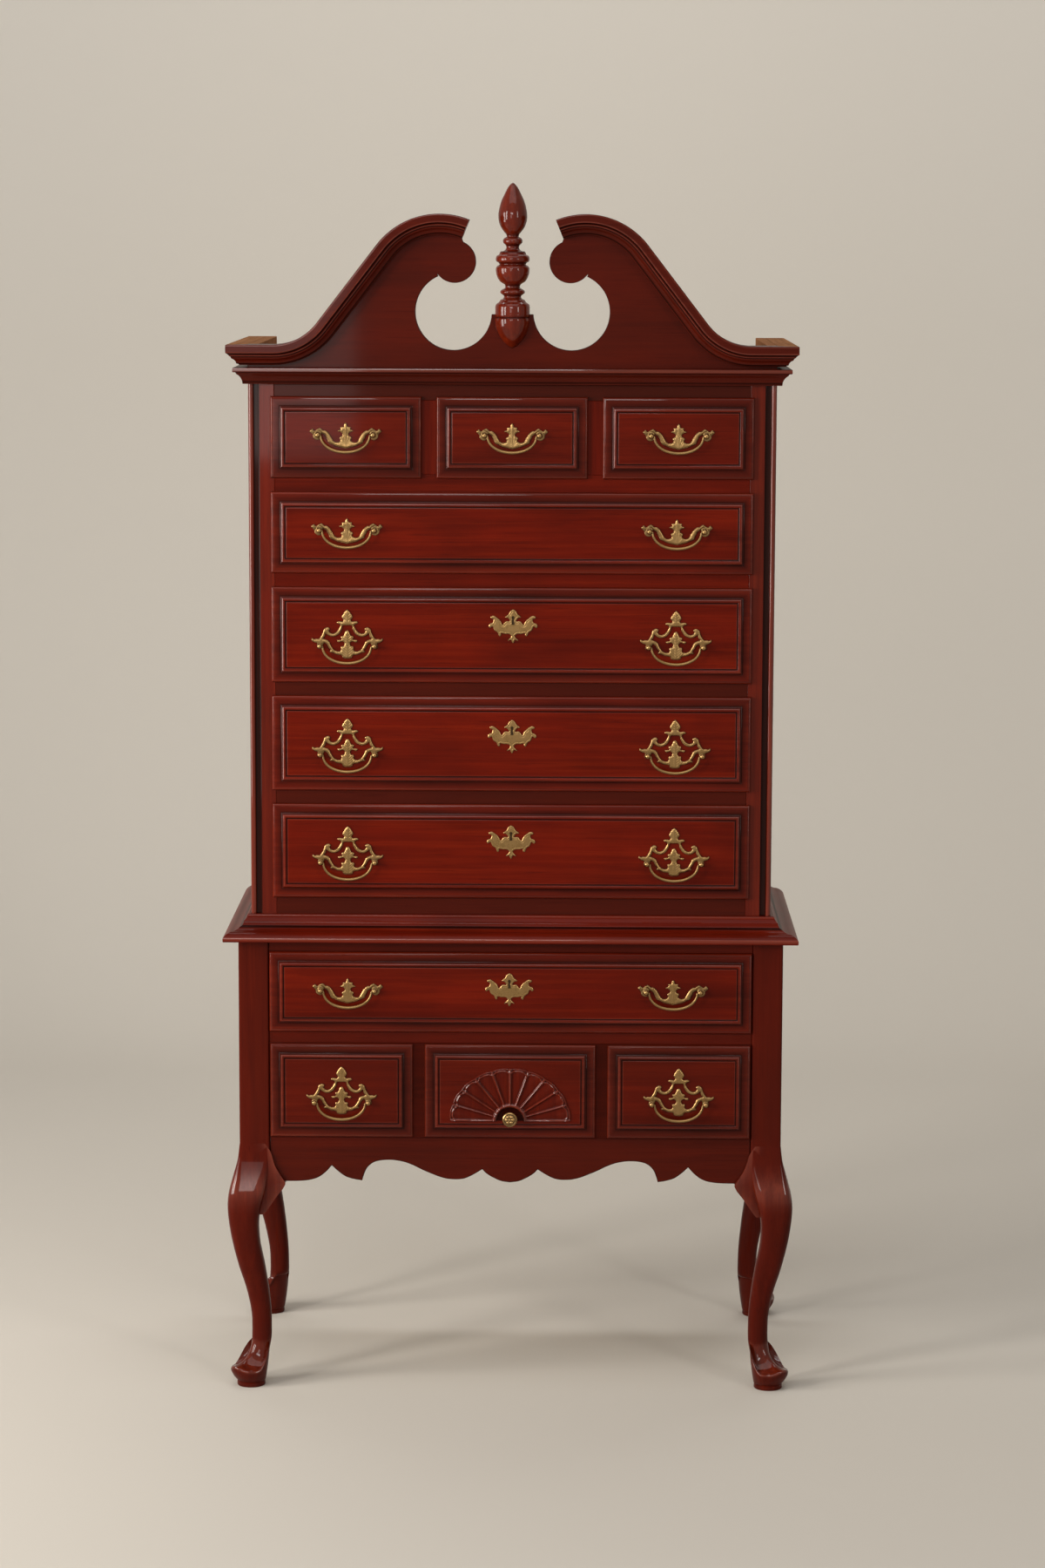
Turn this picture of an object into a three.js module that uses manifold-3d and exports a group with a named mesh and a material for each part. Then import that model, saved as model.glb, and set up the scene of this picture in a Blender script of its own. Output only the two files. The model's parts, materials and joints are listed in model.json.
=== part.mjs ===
// A highboy: a chest of drawers on a low case with four cabriole legs, under a
// broken-scroll pediment with a turned finial.
// Millimetres. +Z is up, +X is to the right of someone facing the drawers, +Y runs to the back.
// Heights count from the floor, and Y counts from the front face of the upper case
// until the last lines, which put the origin under the middle of the whole piece.
import * as THREE from 'three';
import { mergeVertices } from 'three/addons/utils/BufferGeometryUtils.js';
import Module from 'manifold-3d';

// Fits
const seatGap = 0.3;
const slideGap = 1.0;

// Upper case
const upperWidth = 854;
const caseDepth = 423;
const stileShow = 36;
const sideThickness = 16;
const frameThickness = 20;
const backThickness = 9;
const backInset = 9;
const topThickness = 16;

// Lower case
const lowerSideStep = 20.5;
const lowerStep = 21;
const postSize = 50;
const railSetback = 3;
const lowerSideSetback = 2;

// Corner bead of the upper case
const beadRadius = 4.6;
const beadGrooveWidth = 8.4;

// Drawer fronts
const firstFrontLift = 28;
const upperFrontsDrop = 19;
const lowerFrontsDrop = 18;
const tallFront = 156;
const shortFront = 132;
const frontGap = 22;
const smallFrontGap = 24;
const lowerFrontGap = 19;
const panelDrawerBottom = 427;
const panelDrawerHeight = 159;
const lowerShortFront = 134;
const lipOverlap = 6;
const lipEdge = 3.5;
const thumbnailWidth = 5;
const bandRise = 8;
const bandWidth = 10;
const beadWidth = 8;
const quirkDepth = 1.5;
const quirkWidth = 2.5;
const fieldRise = 12;

// The bottom drawer's three panels and its fan
const sidePanelWidth = 235.5;
const panelStrip = 20;
const panelMargin = 1;
const fanSideMargin = 14.5;
const fanTopMargin = 10.5;
const fanFloorMargin = 6.5;
const fanRelief = 2.5;
const fanLobes = 10;
const fanHubRadius = 27;
const fanHubRelief = 1.5;

// Drawer boxes
const boxWall = 12;
const boxBottom = 6;
const boxTopClearance = 4;
const boxBackClearance = 10;

// Runners, guides and back rails inside both cases
const runnerHeight = 16;
const runnerWidth = 46;
const guideHeight = 14;
const backRailThickness = 10;
const dividerSpread = 34;
const cleatThickness = 16;
const jointStep = 1;

// Waist moulding
const waistHeight = 41;
const waistReach = 44;
const waistLedge = 8;
const waistLedgeWidth = 60;

// Pediment
const boardProud = 2;
const crownLift = 4.3;
const crownWidth = 32.7;
const crownReach = 33;
const bedRise = 27;
const bedReach = 23;
const scrollRise = 209;
const scrollCrestX = 117;
const crestRadius = 127;
const valleyRadius = 90;
const scrollAngle = THREE.MathUtils.degToRad(52.3);
const scrollEndAngle = THREE.MathUtils.degToRad(22.2);
const lobeRadius = 34;
const lobeX = 93;
const lobeDrop = 76;
const openingRadius = 61.5;
const openingX = 95;
const openingDrop = 156;
const plinthDrop = 4;

// Finial
const finialHeight = 264;
const finialLift = 32;
const finialRadius = 28;
const finialSetback = 3;

// Legs
const kneeDrop = 12;
const rearKick = 30;
const kneeBlockWidth = 26;
const kneeBlockDrop = 120;
const kneeBlockProud = 7;
const kneeBlockThickness = 26;

// Apron
const apronThickness = 20;
const apronHeight = 77;
const apronRelief = 37;
const sideApronLift = 12;
const sideApronArch = 26;

// Brass pulls
const postSpacing = 88.9;
const plateThickness = 2.2;
const stemRadius = 2.8;
const headRadius = 4.2;
const pivotReach = 11.5;
const bailDrop = 27.7;
const bailShoulder = 5;
const bailRadius = 2.2;
const pinRadius = 1.2;
const shortPullRise = 5;
const tallPullDrop = 17;
const pullInset = 124;

// Brass knob of the fan drawer
const knobRadius = 12.5;
const knobReach = 20;
const knobRise = 5;

// Round shapes are cut in this many steps
const finialSides = 14;
const knobSides = 10;
const postSides = 6;
const arcSteps = 8;
const legSides = 12;

// Half outlines, as shares of half the post spacing: across, then up from the post line.
const crescentOutlineShares = [
  [0, 0.43], [0.06, 0.3], [0.18, 0.27], [0.28, 0.13], [0.12, 0.05], [0.11, -0.02], [0.22, -0.11],
  [0.18, -0.22], [0.34, -0.28], [0.45, -0.21], [0.63, 0.08], [0.76, 0.16], [0.96, 0.24],
  [1.12, 0.14], [1.21, 0.21], [1.3, 0.12], [1.19, 0.01], [1.17, -0.11], [1.07, -0.18],
  [0.95, -0.15], [0.86, -0.04], [0.75, 0.01], [0.62, -0.28], [0.34, -0.42], [0, -0.49],
];
const piercedOutlineShares = [
  [0, 1.33], [0.2, 1.04], [0.15, 0.92], [0.34, 0.89], [0.38, 0.83], [0.27, 0.75], [0.31, 0.6],
  [0.41, 0.48], [0.53, 0.43], [0.63, 0.47], [0.62, 0.62], [0.75, 0.68], [0.86, 0.6],
  [0.97, 0.32], [1.3, 0.27], [1.14, 0.08], [1.14, -0.06], [1, -0.13], [0.87, -0.05],
  [0.77, 0.04], [0.62, -0.2], [0.39, -0.33], [0.2, -0.34], [0.17, -0.44], [0.05, -0.47],
];
const piercedOpeningShares = [
  [0.03, 0.74], [0.16, 0.73], [0.2, 0.6], [0.29, 0.46], [0.42, 0.36], [0.56, 0.33], [0.7, 0.39],
  [0.8, 0.48], [0.9, 0.25], [0.68, 0.14], [0.5, -0.13], [0.37, -0.22], [0.25, -0.21],
  [0.22, -0.05], [0.08, 0.1], [0.34, 0.19], [0.2, 0.24], [0.21, 0.33], [0.02, 0.55],
];

// Profiles, as shares of the moulding's own height (down from the top) and reach (outward).
const crownProfileShares = [
  [0, 0], [0, 1], [0.4, 1], [0.55, 0.88], [0.6, 0.77], [0.68, 0.73], [0.8, 0.64], [0.93, 0.5],
  [1, 0.38], [1, 0],
];
const bedProfileShares = [
  [0, 0], [0, 0.96], [0.2, 1], [0.32, 0.77], [0.62, 0.52], [0.87, 0.33], [1, 0.3], [1, 0],
];
const waistProfileShares = [
  [0, 0], [0, 0.09], [0.07, 0.14], [0.25, 0.26], [0.42, 0.3], [0.48, 0.41], [0.55, 0.59],
  [0.61, 0.78], [0.68, 0.9], [0.78, 0.98], [0.87, 1], [1, 1], [1, 0],
];
// The finial's outline from the tip down, as shares of its radius and of its height.
const finialProfileShares = [
  [0, 1], [0.28, 0.972], [0.62, 0.898], [0.8, 0.828], [0.82, 0.775], [0.7, 0.735], [0.4, 0.691],
  [0.34, 0.678], [0.5, 0.668], [0.57, 0.65], [0.41, 0.632], [0.39, 0.608], [0.5, 0.588],
  [0.78, 0.58], [0.96, 0.553], [0.96, 0.53], [0.78, 0.512], [0.77, 0.504], [0.95, 0.492],
  [0.94, 0.45], [0.79, 0.413], [0.6, 0.394], [0.44, 0.386], [0.45, 0.362], [0.66, 0.352],
  [0.7, 0.338], [0.54, 0.322], [0.52, 0.304], [0.68, 0.28], [0.99, 0.262], [1, 0.19],
  [0.98, 0.15], [0.85, 0.095], [0.62, 0.05], [0.32, 0.014], [0, 0],
];
// Leg sections: height as a share of the knee's top, then how far the leg stands outside and
// inside its post's outer face as shares of the post, then the squareness of the section.
const legSectionShares = [
  [1, 0, 1, 16], [0.93, 0.08, 1, 10], [0.87, 0.22, 0.97, 6], [0.81, 0.36, 0.88, 4.5],
  [0.755, 0.41, 0.74, 3.6], [0.69, 0.38, 0.63, 3.1], [0.6, 0.27, 0.65, 2.8], [0.49, 0.07, 0.8, 2.6],
  [0.39, -0.16, 0.91, 2.4], [0.29, -0.31, 0.98, 2.2], [0.22, -0.33, 0.99, 2.1],
  [0.175, -0.25, 0.97, 2.1], [0.14, -0.05, 0.95, 2.1], [0.11, 0.22, 0.94, 2.1],
  [0.087, 0.36, 0.93, 2.1], [0.065, 0.33, 0.91, 2.1], [0.04, 0.2, 0.86, 2.1],
  [0.02, 0.15, 0.8, 2.1], [0, 0.15, 0.76, 2.1],
];
// Half of the front apron's lower edge, from the middle out: share of its half width, and share
// of its relief above its lowest line.
const apronEdgeShares = [
  [0, 0.03], [0.04, 0.05], [0.08, 0.22], [0.115, 0.6], [0.145, 0.36], [0.18, 0.14], [0.22, 0.08],
  [0.26, 0.13], [0.32, 0.38], [0.4, 0.76], [0.46, 0.96], [0.51, 1], [0.55, 0.95], [0.59, 0.66],
  [0.605, 0.1], [0.64, 0.08], [0.69, 0.28], [0.74, 0.7], [0.78, 0.36], [0.84, 0.1], [0.9, 0.02],
  [1, 0.02],
];
const fullTurn = Math.PI * 2;

const wasm = await Module();
wasm.setup();

// Places that the sizes above settle
const upperHalf = upperWidth / 2;
const lowerHalf = upperHalf + lowerSideStep;
const lowerFront = -lowerStep;
const railFront = lowerFront + railSetback;
const postInner = lowerHalf - postSize;
const halfSpacing = postSpacing / 2;
const frontsHalf = upperHalf - stileShow;
const upperFrontsWidth = 2 * frontsHalf;
const longPullX = frontsHalf - pullInset;
const stileInner = frontsHalf - lipOverlap;
const sideInner = upperHalf - sideThickness;
const lowerRowFloor = panelDrawerBottom + panelDrawerHeight + lowerFrontGap;
const lowerTop = lowerRowFloor + lowerShortFront + lowerFrontsDrop;
const waistTop = lowerTop + waistHeight;
const upperFloor = lowerTop + waistLedge + seatGap;
const backFront = caseDepth - backInset - backThickness;
const backRailBack = backFront - seatGap;
const backRailFront = backRailBack - backRailThickness;
const boxBack = backRailFront - boxBackClearance;
const lowerFrontWidth = 2 * (postInner - slideGap);
const topRowNames = ['row1_left', 'row1_middle', 'row1_right'];
const topRowGaps = (topRowNames.length - 1) * smallFrontGap;
const smallFrontWidth = (upperFrontsWidth - topRowGaps) / topRowNames.length;
const smallFrontPitch = smallFrontWidth + smallFrontGap;

// Closed solids
function closed(positions, triangles) {
  let volume = 0;
  const corner = (i) => new THREE.Vector3().fromArray(positions, 3 * i);
  for (let i = 0; i < triangles.length; i += 3) {
    const [a, b, c] = [0, 1, 2].map((k) => corner(triangles[i + k]));
    volume += a.dot(b.cross(c));
  }
  if (volume < 0) triangles.reverse();
  const geometry = new THREE.BufferGeometry();
  geometry.setAttribute('position', new THREE.Float32BufferAttribute(positions, 3));
  geometry.setIndex(triangles);
  return geometry;
}

// Skins a row of rings that have one point each for every point of the end outline.
function loft(rings, outline) {
  const count = outline.length;
  const positions = rings.flat().flatMap((point) => point.toArray());
  const triangles = [];
  for (let ring = 0; ring + 1 < rings.length; ring++) {
    for (let i = 0; i < count; i++) {
      const j = (i + 1) % count;
      const [a, b] = [ring * count + i, ring * count + j];
      triangles.push(a, b, b + count, a, b + count, a + count);
    }
  }
  const last = (rings.length - 1) * count;
  const flip = THREE.ShapeUtils.isClockWise(outline);
  for (const face of THREE.ShapeUtils.triangulateShape(outline, [])) {
    const [a, b, c] = flip ? [face[2], face[1], face[0]] : face;
    triangles.push(c, b, a, last + a, last + b, last + c);
  }
  return closed(positions, triangles);
}

// A box between two places on each axis. Equal places give exactly flush faces.
function block(xs, ys, zs) {
  const corners = [[0, 0], [1, 0], [1, 1], [0, 1]];
  const ring = (z) => corners.map(([i, j]) => new THREE.Vector3(xs[i], ys[j], z));
  return loft(zs.map(ring), corners.map(([i, j]) => new THREE.Vector2(i, j)));
}

// A flat plate cut to a front-view shape, from backY towards the viewer.
function plate(shape, thickness, backY) {
  const geometry = new THREE.ExtrudeGeometry(shape, { depth: thickness, bevelEnabled: false });
  return geometry.rotateX(Math.PI / 2).translate(0, backY, 0);
}

// A solid of revolution about Y from a profile of [radius, height] points.
function turned(profile, sides) {
  const points = profile.map(([r, y]) => new THREE.Vector2(r, y));
  const lathe = new THREE.LatheGeometry(points, sides);
  lathe.deleteAttribute('normal');
  lathe.deleteAttribute('uv');
  const merged = mergeVertices(lathe);
  const faces = [...merged.index.array];
  const kept = [];
  for (let i = 0; i < faces.length; i += 3) {
    const face = faces.slice(i, i + 3);
    if (new Set(face).size === 3) kept.push(...face);
  }
  return closed([...merged.attributes.position.array], kept);
}

function circle(sides) {
  const turns = Array.from({ length: sides }, (_, i) => fullTurn * i / sides);
  return turns.map((turn) => new THREE.Vector2(Math.cos(turn), Math.sin(turn)));
}

function solidOf(geometry) {
  const bare = geometry.clone();
  bare.deleteAttribute('normal');
  bare.deleteAttribute('uv');
  const merged = mergeVertices(bare);
  const vertProperties = new Float32Array(merged.attributes.position.array);
  const triVerts = new Uint32Array(merged.index.array);
  return new wasm.Manifold(new wasm.Mesh({ numProp: 3, vertProperties, triVerts }));
}

function geometryOf(solid) {
  const mesh = solid.getMesh();
  const geometry = new THREE.BufferGeometry();
  geometry.setAttribute('position', new THREE.BufferAttribute(mesh.vertProperties, 3));
  geometry.setIndex(new THREE.BufferAttribute(mesh.triVerts, 1));
  return geometry;
}

function joined(pieces, cuts = []) {
  let solid = solidOf(pieces[0]);
  for (const piece of pieces.slice(1)) solid = solid.add(solidOf(piece));
  for (const cut of cuts) solid = solid.subtract(solidOf(cut));
  return geometryOf(solid);
}

// A half outline with its mirror image, as one closed ring that runs anticlockwise.
function mirrored(half) {
  const other = half.filter((point) => point.x !== 0).reverse();
  const ring = [...half, ...other.map((point) => new THREE.Vector2(-point.x, point.y))];
  return THREE.ShapeUtils.isClockWise(ring) ? ring.reverse() : ring;
}

function scaledShares(shares, across, up) {
  return shares.map(([x, z]) => new THREE.Vector2(x * across, z * up));
}

// Materials
const wood = { color: 0x5b1c12, roughness: 0.35, metalness: 0 };
const innerWood = { color: 0xb98e5d, roughness: 0.7, metalness: 0 };
const brass = { color: 0xa9854a, roughness: 0.35, metalness: 1 };

function piece(name, geometry, finish) {
  geometry.computeVertexNormals();
  const mesh = new THREE.Mesh(geometry, new THREE.MeshStandardMaterial(finish));
  mesh.name = name;
  return mesh;
}

// Pulls
// A turned post that stands on the plate, its head drilled from the inner side for the bail.
function post(side) {
  const body = turned([
    [0, 0], [stemRadius, 0], [stemRadius, pivotReach - headRadius * headNeckShare],
    [headRadius, pivotReach - headRadius * headBandShare],
    [headRadius, pivotReach + headRadius * headBandShare],
    [0, pivotReach + headRadius],
  ], postSides).rotateX(Math.PI);
  const drillLength = 2 * headRadius;
  const drillRadius = pinRadius + seatGap;
  const drill = new THREE.CylinderGeometry(drillRadius, drillRadius, drillLength, postSides);
  drill.rotateZ(Math.PI / 2).translate(side * (seatGap - drillLength / 2), -pivotReach, 0);
  return joined([body], [drill]).translate(side * halfSpacing, 0, 0);
}
const headNeckShare = 0.8;
const headBandShare = 0.33;

function pullPlate(outlineShares, openingShares) {
  const shape = new THREE.Shape(mirrored(scaledShares(outlineShares, halfSpacing, halfSpacing)));
  if (openingShares) {
    const opening = mirrored(scaledShares(openingShares, halfSpacing, halfSpacing));
    shape.holes.push(new THREE.Path(opening));
  }
  return joined([plate(shape, plateThickness, -seatGap), ...[-1, 1].map((side) => seated(post(side)))]);
}

function seated(geometry) {
  return geometry.translate(0, -seatGap, 0);
}

// The drop handle: two pins turned outward into the posts, and a half ellipse between them.
class BailCurve extends THREE.Curve {
  getPoint(t, target = new THREE.Vector3()) {
    const reach = halfSpacing - bailShoulder;
    const angle = Math.PI * THREE.MathUtils.clamp((t - bailPinShare) / (1 - 2 * bailPinShare), 0, 1);
    const pin = Math.max(bailPinShare - t, t - 1 + bailPinShare, 0) / bailPinShare;
    const x = Math.cos(angle) * (reach + pin * bailShoulder);
    return target.set(x, 0, -Math.sin(angle) * bailDrop);
  }
}
const bailPinShare = 0.08;
const bailSteps = 13;
const bailSides = 5;

function bail() {
  const points = circle(bailSides);
  const curve = new BailCurve();
  const rings = [];
  for (let step = 0; step <= bailSteps; step++) {
    const t = step / bailSteps;
    const centre = curve.getPoint(t);
    const along = curve.getTangent(t);
    const inward = new THREE.Vector3(-along.z, 0, along.x);
    const ends = step === 0 || step === bailSteps || step === 1 || step === bailSteps - 1;
    const radius = ends ? pinRadius : bailRadius;
    rings.push(points.map(({ x, y }) => {
      const offset = inward.clone().multiplyScalar(x * radius);
      return centre.clone().add(offset).add(new THREE.Vector3(0, y * radius, 0));
    }));
  }
  return loft(rings, points);
}

// Drawers
// A moulded panel, as nested rectangles that rise from the back plane at y = 0.
function panel(width, height, steps) {
  const corners = [[-1, -1], [1, -1], [1, 1], [-1, 1]];
  const rings = steps.map(([inset, rise]) => corners.map(([x, z]) => new THREE.Vector3(
    x * (width / 2 - inset), -rise, z * (height / 2 - inset))));
  return loft(rings, corners.map(([x, z]) => new THREE.Vector2(x, z)));
}

const bandInner = thumbnailWidth + bandWidth;
const beadInner = bandInner + beadWidth;
const fieldInset = beadInner + quirkWidth;
const panelSteps = [
  [thumbnailWidth, bandRise], [bandInner, bandRise], [beadInner, fieldRise],
  [fieldInset - quirkWidth / 2, fieldRise - quirkDepth], [fieldInset, fieldRise],
];

function drawerBox(width, depth, [low, high]) {
  const shell = block([-width / 2, width / 2], [-lipEdge / 2, depth], [low, high]);
  const inner = width / 2 - boxWall;
  return [shell, block([-inner, inner], [boxWall, depth - boxWall], [low + boxBottom, high + boxWall])];
}

function plainDrawer(width, height, depth) {
  const low = -height / 2 + lipOverlap + seatGap;
  const high = height / 2 - lipOverlap - boxTopClearance;
  const boxWidth = width - 2 * (lipOverlap + slideGap);
  const [shell, cavity] = drawerBox(boxWidth, depth, [low, high]);
  return joined([panel(width, height, [[0, 0], [0, lipEdge], ...panelSteps]), shell], [cavity]);
}

// The fan: rays with rounded ends round a hub, in low relief.
function fanShape(radius, tall) {
  const rim = [];
  const stepsPerLobe = 4;
  for (let i = 0; i <= fanLobes * stepsPerLobe; i++) {
    const turn = Math.PI * i / (fanLobes * stepsPerLobe);
    const bulge = Math.abs(Math.sin(fanLobes * turn));
    const reach = 1 - fanLobeDepthShare * (1 - bulge);
    rim.push(new THREE.Vector2(radius * reach * Math.cos(turn), tall * reach * Math.sin(turn)));
  }
  return new THREE.Shape(rim);
}
const fanLobeDepthShare = 0.035;

function hubShape() {
  const shape = new THREE.Shape();
  shape.absarc(0, 0, fanHubRadius, 0, Math.PI, false);
  return new THREE.Shape(shape.getPoints(arcSteps));
}

function fanDrawer(width, height, depth) {
  const low = -height / 2 + lipOverlap + seatGap;
  const high = height / 2 - lipOverlap - boxTopClearance;
  const [shell, cavity] = drawerBox(width - 2 * (lipOverlap + slideGap), depth, [low, high]);
  const ground = panel(width, height, [[0, 0], [0, lipEdge]]);
  const tall = height - 2 * panelMargin;
  const raised = [[0, lipEdge / 2], [0, lipEdge], ...panelSteps];
  const centreWidth = width - 2 * (sidePanelWidth + panelStrip);
  const panels = [-1, 0, 1].map((side) => {
    const across = side ? sidePanelWidth : centreWidth;
    return panel(across, tall, raised).translate(side * sidePanelX, 0, 0);
  });
  const fanRoot = quirkDepth - fieldRise;
  const radius = centreWidth / 2 - fieldInset - fanSideMargin;
  const fanTall = tall - 2 * fieldInset - fanFloorMargin - fanTopMargin;
  const fan = plate(fanShape(radius, fanTall), fanRelief + quirkDepth, fanRoot);
  const hub = plate(hubShape(), fanRelief + fanHubRelief + quirkDepth, fanRoot - quirkDepth / 2);
  for (const raisedPiece of [fan, hub]) raisedPiece.translate(0, 0, fanFloor - height / 2);
  return joined([ground, ...panels, fan, hub, shell], [cavity]);
}
const sidePanelX = (lowerFrontWidth - sidePanelWidth) / 2 - panelMargin;
const fanFloor = panelMargin + fieldInset + fanFloorMargin;
const knobSeat = -fieldRise - fanRelief - fanHubRelief - quirkDepth / 2;

function knob() {
  const profile = knobProfileShares.map(([r, y]) => [r * knobRadius, y * knobReach]);
  return turned(profile, knobSides).rotateX(Math.PI);
}
const knobProfileShares = [
  [0, 0], [0.62, 0], [0.62, 0.1], [0.42, 0.2], [0.4, 0.45], [0.8, 0.6], [1, 0.74], [0.96, 0.86],
  [0.6, 0.96], [0, 1],
];

const upperDepth = boxBack + seatGap;
const lowerDepth = boxBack - railFront + seatGap;
const assembly = new THREE.Group();
const centres = [];
let floor = waistTop + firstFrontLift;
for (const height of [tallFront, tallFront, tallFront, shortFront, shortFront]) {
  centres.push({ height, z: floor + height / 2 });
  floor += height + frontGap;
}
const frontsTop = floor - frontGap;
const upperTop = frontsTop + upperFrontsDrop;
const bedTop = upperTop + bedRise;
const corniceTop = bedTop + crownLift + crownWidth;
const lowerRows = {
  lower: { height: lowerShortFront, z: lowerRowFloor + lowerShortFront / 2 },
  fan: { height: panelDrawerHeight, z: panelDrawerBottom + panelDrawerHeight / 2 },
};

// Adds one drawer with its pulls; pull places are measured from the front's middle.
function addDrawer(name, geometry, [x, y, z], pulls, style) {
  const drawer = new THREE.Group();
  drawer.position.set(x, y, z);
  drawer.add(piece(`${name}_drawer`, geometry, wood));
  pulls.forEach(({ tag, x: across, z: up }) => {
    const plateMesh = piece(`${name}_${tag}pull_plate`, style(), brass);
    const bailMesh = piece(`${name}_${tag}bail`, bail(), brass);
    plateMesh.position.set(across, -fieldRise, up);
    bailMesh.position.set(across, -fieldRise - seatGap - pivotReach, up);
    drawer.add(plateMesh, bailMesh);
  });
  assembly.add(drawer);
  return drawer;
}

const crescent = () => pullPlate(crescentOutlineShares);
const pierced = () => pullPlate(piercedOutlineShares, piercedOpeningShares);
const pair = (across, up) => [
  { tag: 'left_', x: -across, z: up }, { tag: 'right_', x: across, z: up },
];

['row5', 'row4', 'row3', 'row2'].forEach((row, i) => {
  const { height, z } = centres[i];
  const tall = height === tallFront;
  const geometry = plainDrawer(upperFrontsWidth, height, upperDepth);
  const pulls = pair(longPullX, tall ? -tallPullDrop : shortPullRise);
  addDrawer(row, geometry, [0, -seatGap, z], pulls, tall ? pierced : crescent);
});
topRowNames.forEach((row, i) => {
  const { height, z } = centres.at(-1);
  const geometry = plainDrawer(smallFrontWidth, height, upperDepth);
  const place = [(i - 1) * smallFrontPitch, -seatGap, z];
  addDrawer(row, geometry, place, [{ tag: '', x: 0, z: shortPullRise }], crescent);
});
{
  const { height, z } = lowerRows.lower;
  const boxed = plainDrawer(lowerFrontWidth, height, lowerDepth);
  addDrawer('row6', boxed, [0, railFront - seatGap, z], pair(longPullX, shortPullRise), crescent);
}
{
  const { height, z } = lowerRows.fan;
  const geometry = fanDrawer(lowerFrontWidth, height, lowerDepth);
  const place = [0, railFront - seatGap, z];
  const drawer = addDrawer('row7', geometry, place, pair(sidePanelX, -tallPullDrop), pierced);
  const knobMesh = piece('row7_fan_knob', knob(), brass);
  const up = fanFloor + knobRise - height / 2;
  knobMesh.position.set(0, knobSeat - seatGap, up);
  drawer.add(knobMesh);
}

// Upper case
function rightStile() {
  const shape = new THREE.Shape();
  const beadX = upperHalf - beadRadius;
  const grooveInner = upperHalf - 2 * beadRadius - beadGrooveWidth;
  shape.moveTo(stileInner, 0);
  shape.lineTo(grooveInner, 0);
  shape.lineTo(grooveInner, beadRadius);
  shape.lineTo(upperHalf - 2 * beadRadius, beadRadius);
  shape.absarc(beadX, beadRadius, beadRadius, -Math.PI, 0, false);
  shape.lineTo(upperHalf, frameThickness);
  shape.lineTo(stileInner, frameThickness);
  const depth = upperTop - upperFloor;
  const settings = { depth, bevelEnabled: false, curveSegments: arcSteps };
  return new THREE.ExtrudeGeometry(shape, settings).translate(0, 0, upperFloor);
}

// The left stile is the right one reflected, so its bead faces front too.
function reflected(geometry) {
  const copy = geometry.clone().scale(-1, 1, 1);
  const merged = copy.index ? copy.toNonIndexed() : copy;
  const points = merged.attributes.position.array;
  return closed([...points], points.reduce((list, _, i) => (i % 3 ? list : [...list, i / 3]), []));
}

// A pair of ends mirrored to the chosen side of the case.
function sided(side, [near, far]) {
  return side > 0 ? [near, far] : [-far, -near];
}

// Runners and guides for one level on one side, ending in the back rail.
function runnerPair(runnerX, guideX, top, [front, back]) {
  return [
    block(runnerX, [front, back + jointStep], [top - runnerHeight, top]),
    block(guideX, [front + jointStep, back], [top - runnerHeight + jointStep, top + guideHeight]),
  ];
}

function upperFrame() {
  const levels = centres.map(({ height, z }) => z - height / 2 + lipOverlap);
  const pieces = [rightStile(), reflected(rightStile())];
  const across = [-stileInner - jointStep, stileInner + jointStep];
  const deep = [frameThickness / 2, backRailFront + jointStep];
  const outer = sideInner - seatGap;
  levels.forEach((top, i) => {
    const under = i ? top - frontGap - 2 * lipOverlap : upperFloor + jointStep;
    pieces.push(block(across, [jointStep / 2, frameThickness - jointStep], [under, top - jointStep]));
    for (const side of [-1, 1]) {
      const runner = sided(side, [outer - runnerWidth, outer - jointStep]);
      pieces.push(...runnerPair(runner, sided(side, [stileInner, outer]), top, deep));
    }
    const span = [2 * jointStep - outer, outer - 2 * jointStep];
    const layer = [top - runnerHeight + 2 * jointStep, top - 2 * jointStep];
    pieces.push(block(span, [backRailFront, backRailBack], layer));
  });
  const smallTop = levels.at(-1);
  const dividerHalf = smallFrontGap / 2 + lipOverlap;
  for (const side of [-1, 1]) {
    const x = side * smallFrontPitch / 2;
    const runner = [x - dividerSpread, x + dividerSpread];
    const guide = [x - dividerHalf + slideGap, x + dividerHalf - slideGap];
    const layer = [smallTop - 2 * jointStep, upperTop - lipOverlap];
    const wide = [x - dividerHalf, x + dividerHalf];
    pieces.push(block(wide, [jointStep / 4, frameThickness - jointStep / 2], layer));
    pieces.push(...runnerPair(runner, guide, smallTop, deep));
    const kicker = sided(side, [outer - runnerWidth, outer]);
    pieces.push(block(kicker, deep, [upperTop - runnerHeight, upperTop - jointStep]));
  }
  const topRail = [frontsTop - lipOverlap, upperTop - jointStep / 2];
  pieces.push(block(across, [jointStep / 2, frameThickness - jointStep], topRail));
  return joined(pieces);
}
assembly.add(piece('upper_drawer_frame', upperFrame(), wood));

for (const [name, side] of [['upper_left_side', -1], ['upper_right_side', 1]]) {
  const x = side * (upperHalf - sideThickness / 2);
  const [near, far] = [frameThickness + seatGap, caseDepth];
  const board = block([-sideThickness / 2, sideThickness / 2], [near, far], [upperFloor, corniceTop]);
  const mesh = piece(name, board, wood);
  mesh.position.x = x;
  assembly.add(mesh);
}
const between = [-sideInner + seatGap, sideInner - seatGap];
const backSpan = [backFront, backFront + backThickness];
assembly.add(piece('upper_back', block(between, backSpan, [upperFloor, upperTop]), innerWood));
const topSpan = [frameThickness + seatGap, caseDepth];
const topLayer = [upperTop + seatGap, upperTop + seatGap + topThickness];
assembly.add(piece('upper_top_board', block(between, topSpan, topLayer), innerWood));

// Mouldings
// Points of a profile whose shares run down and outward, measured from a wall face.
function profilePoints(shares, height, reach) {
  return shares.map(([down, out]) => ({ down: down * height, out: out * reach }));
}

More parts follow.
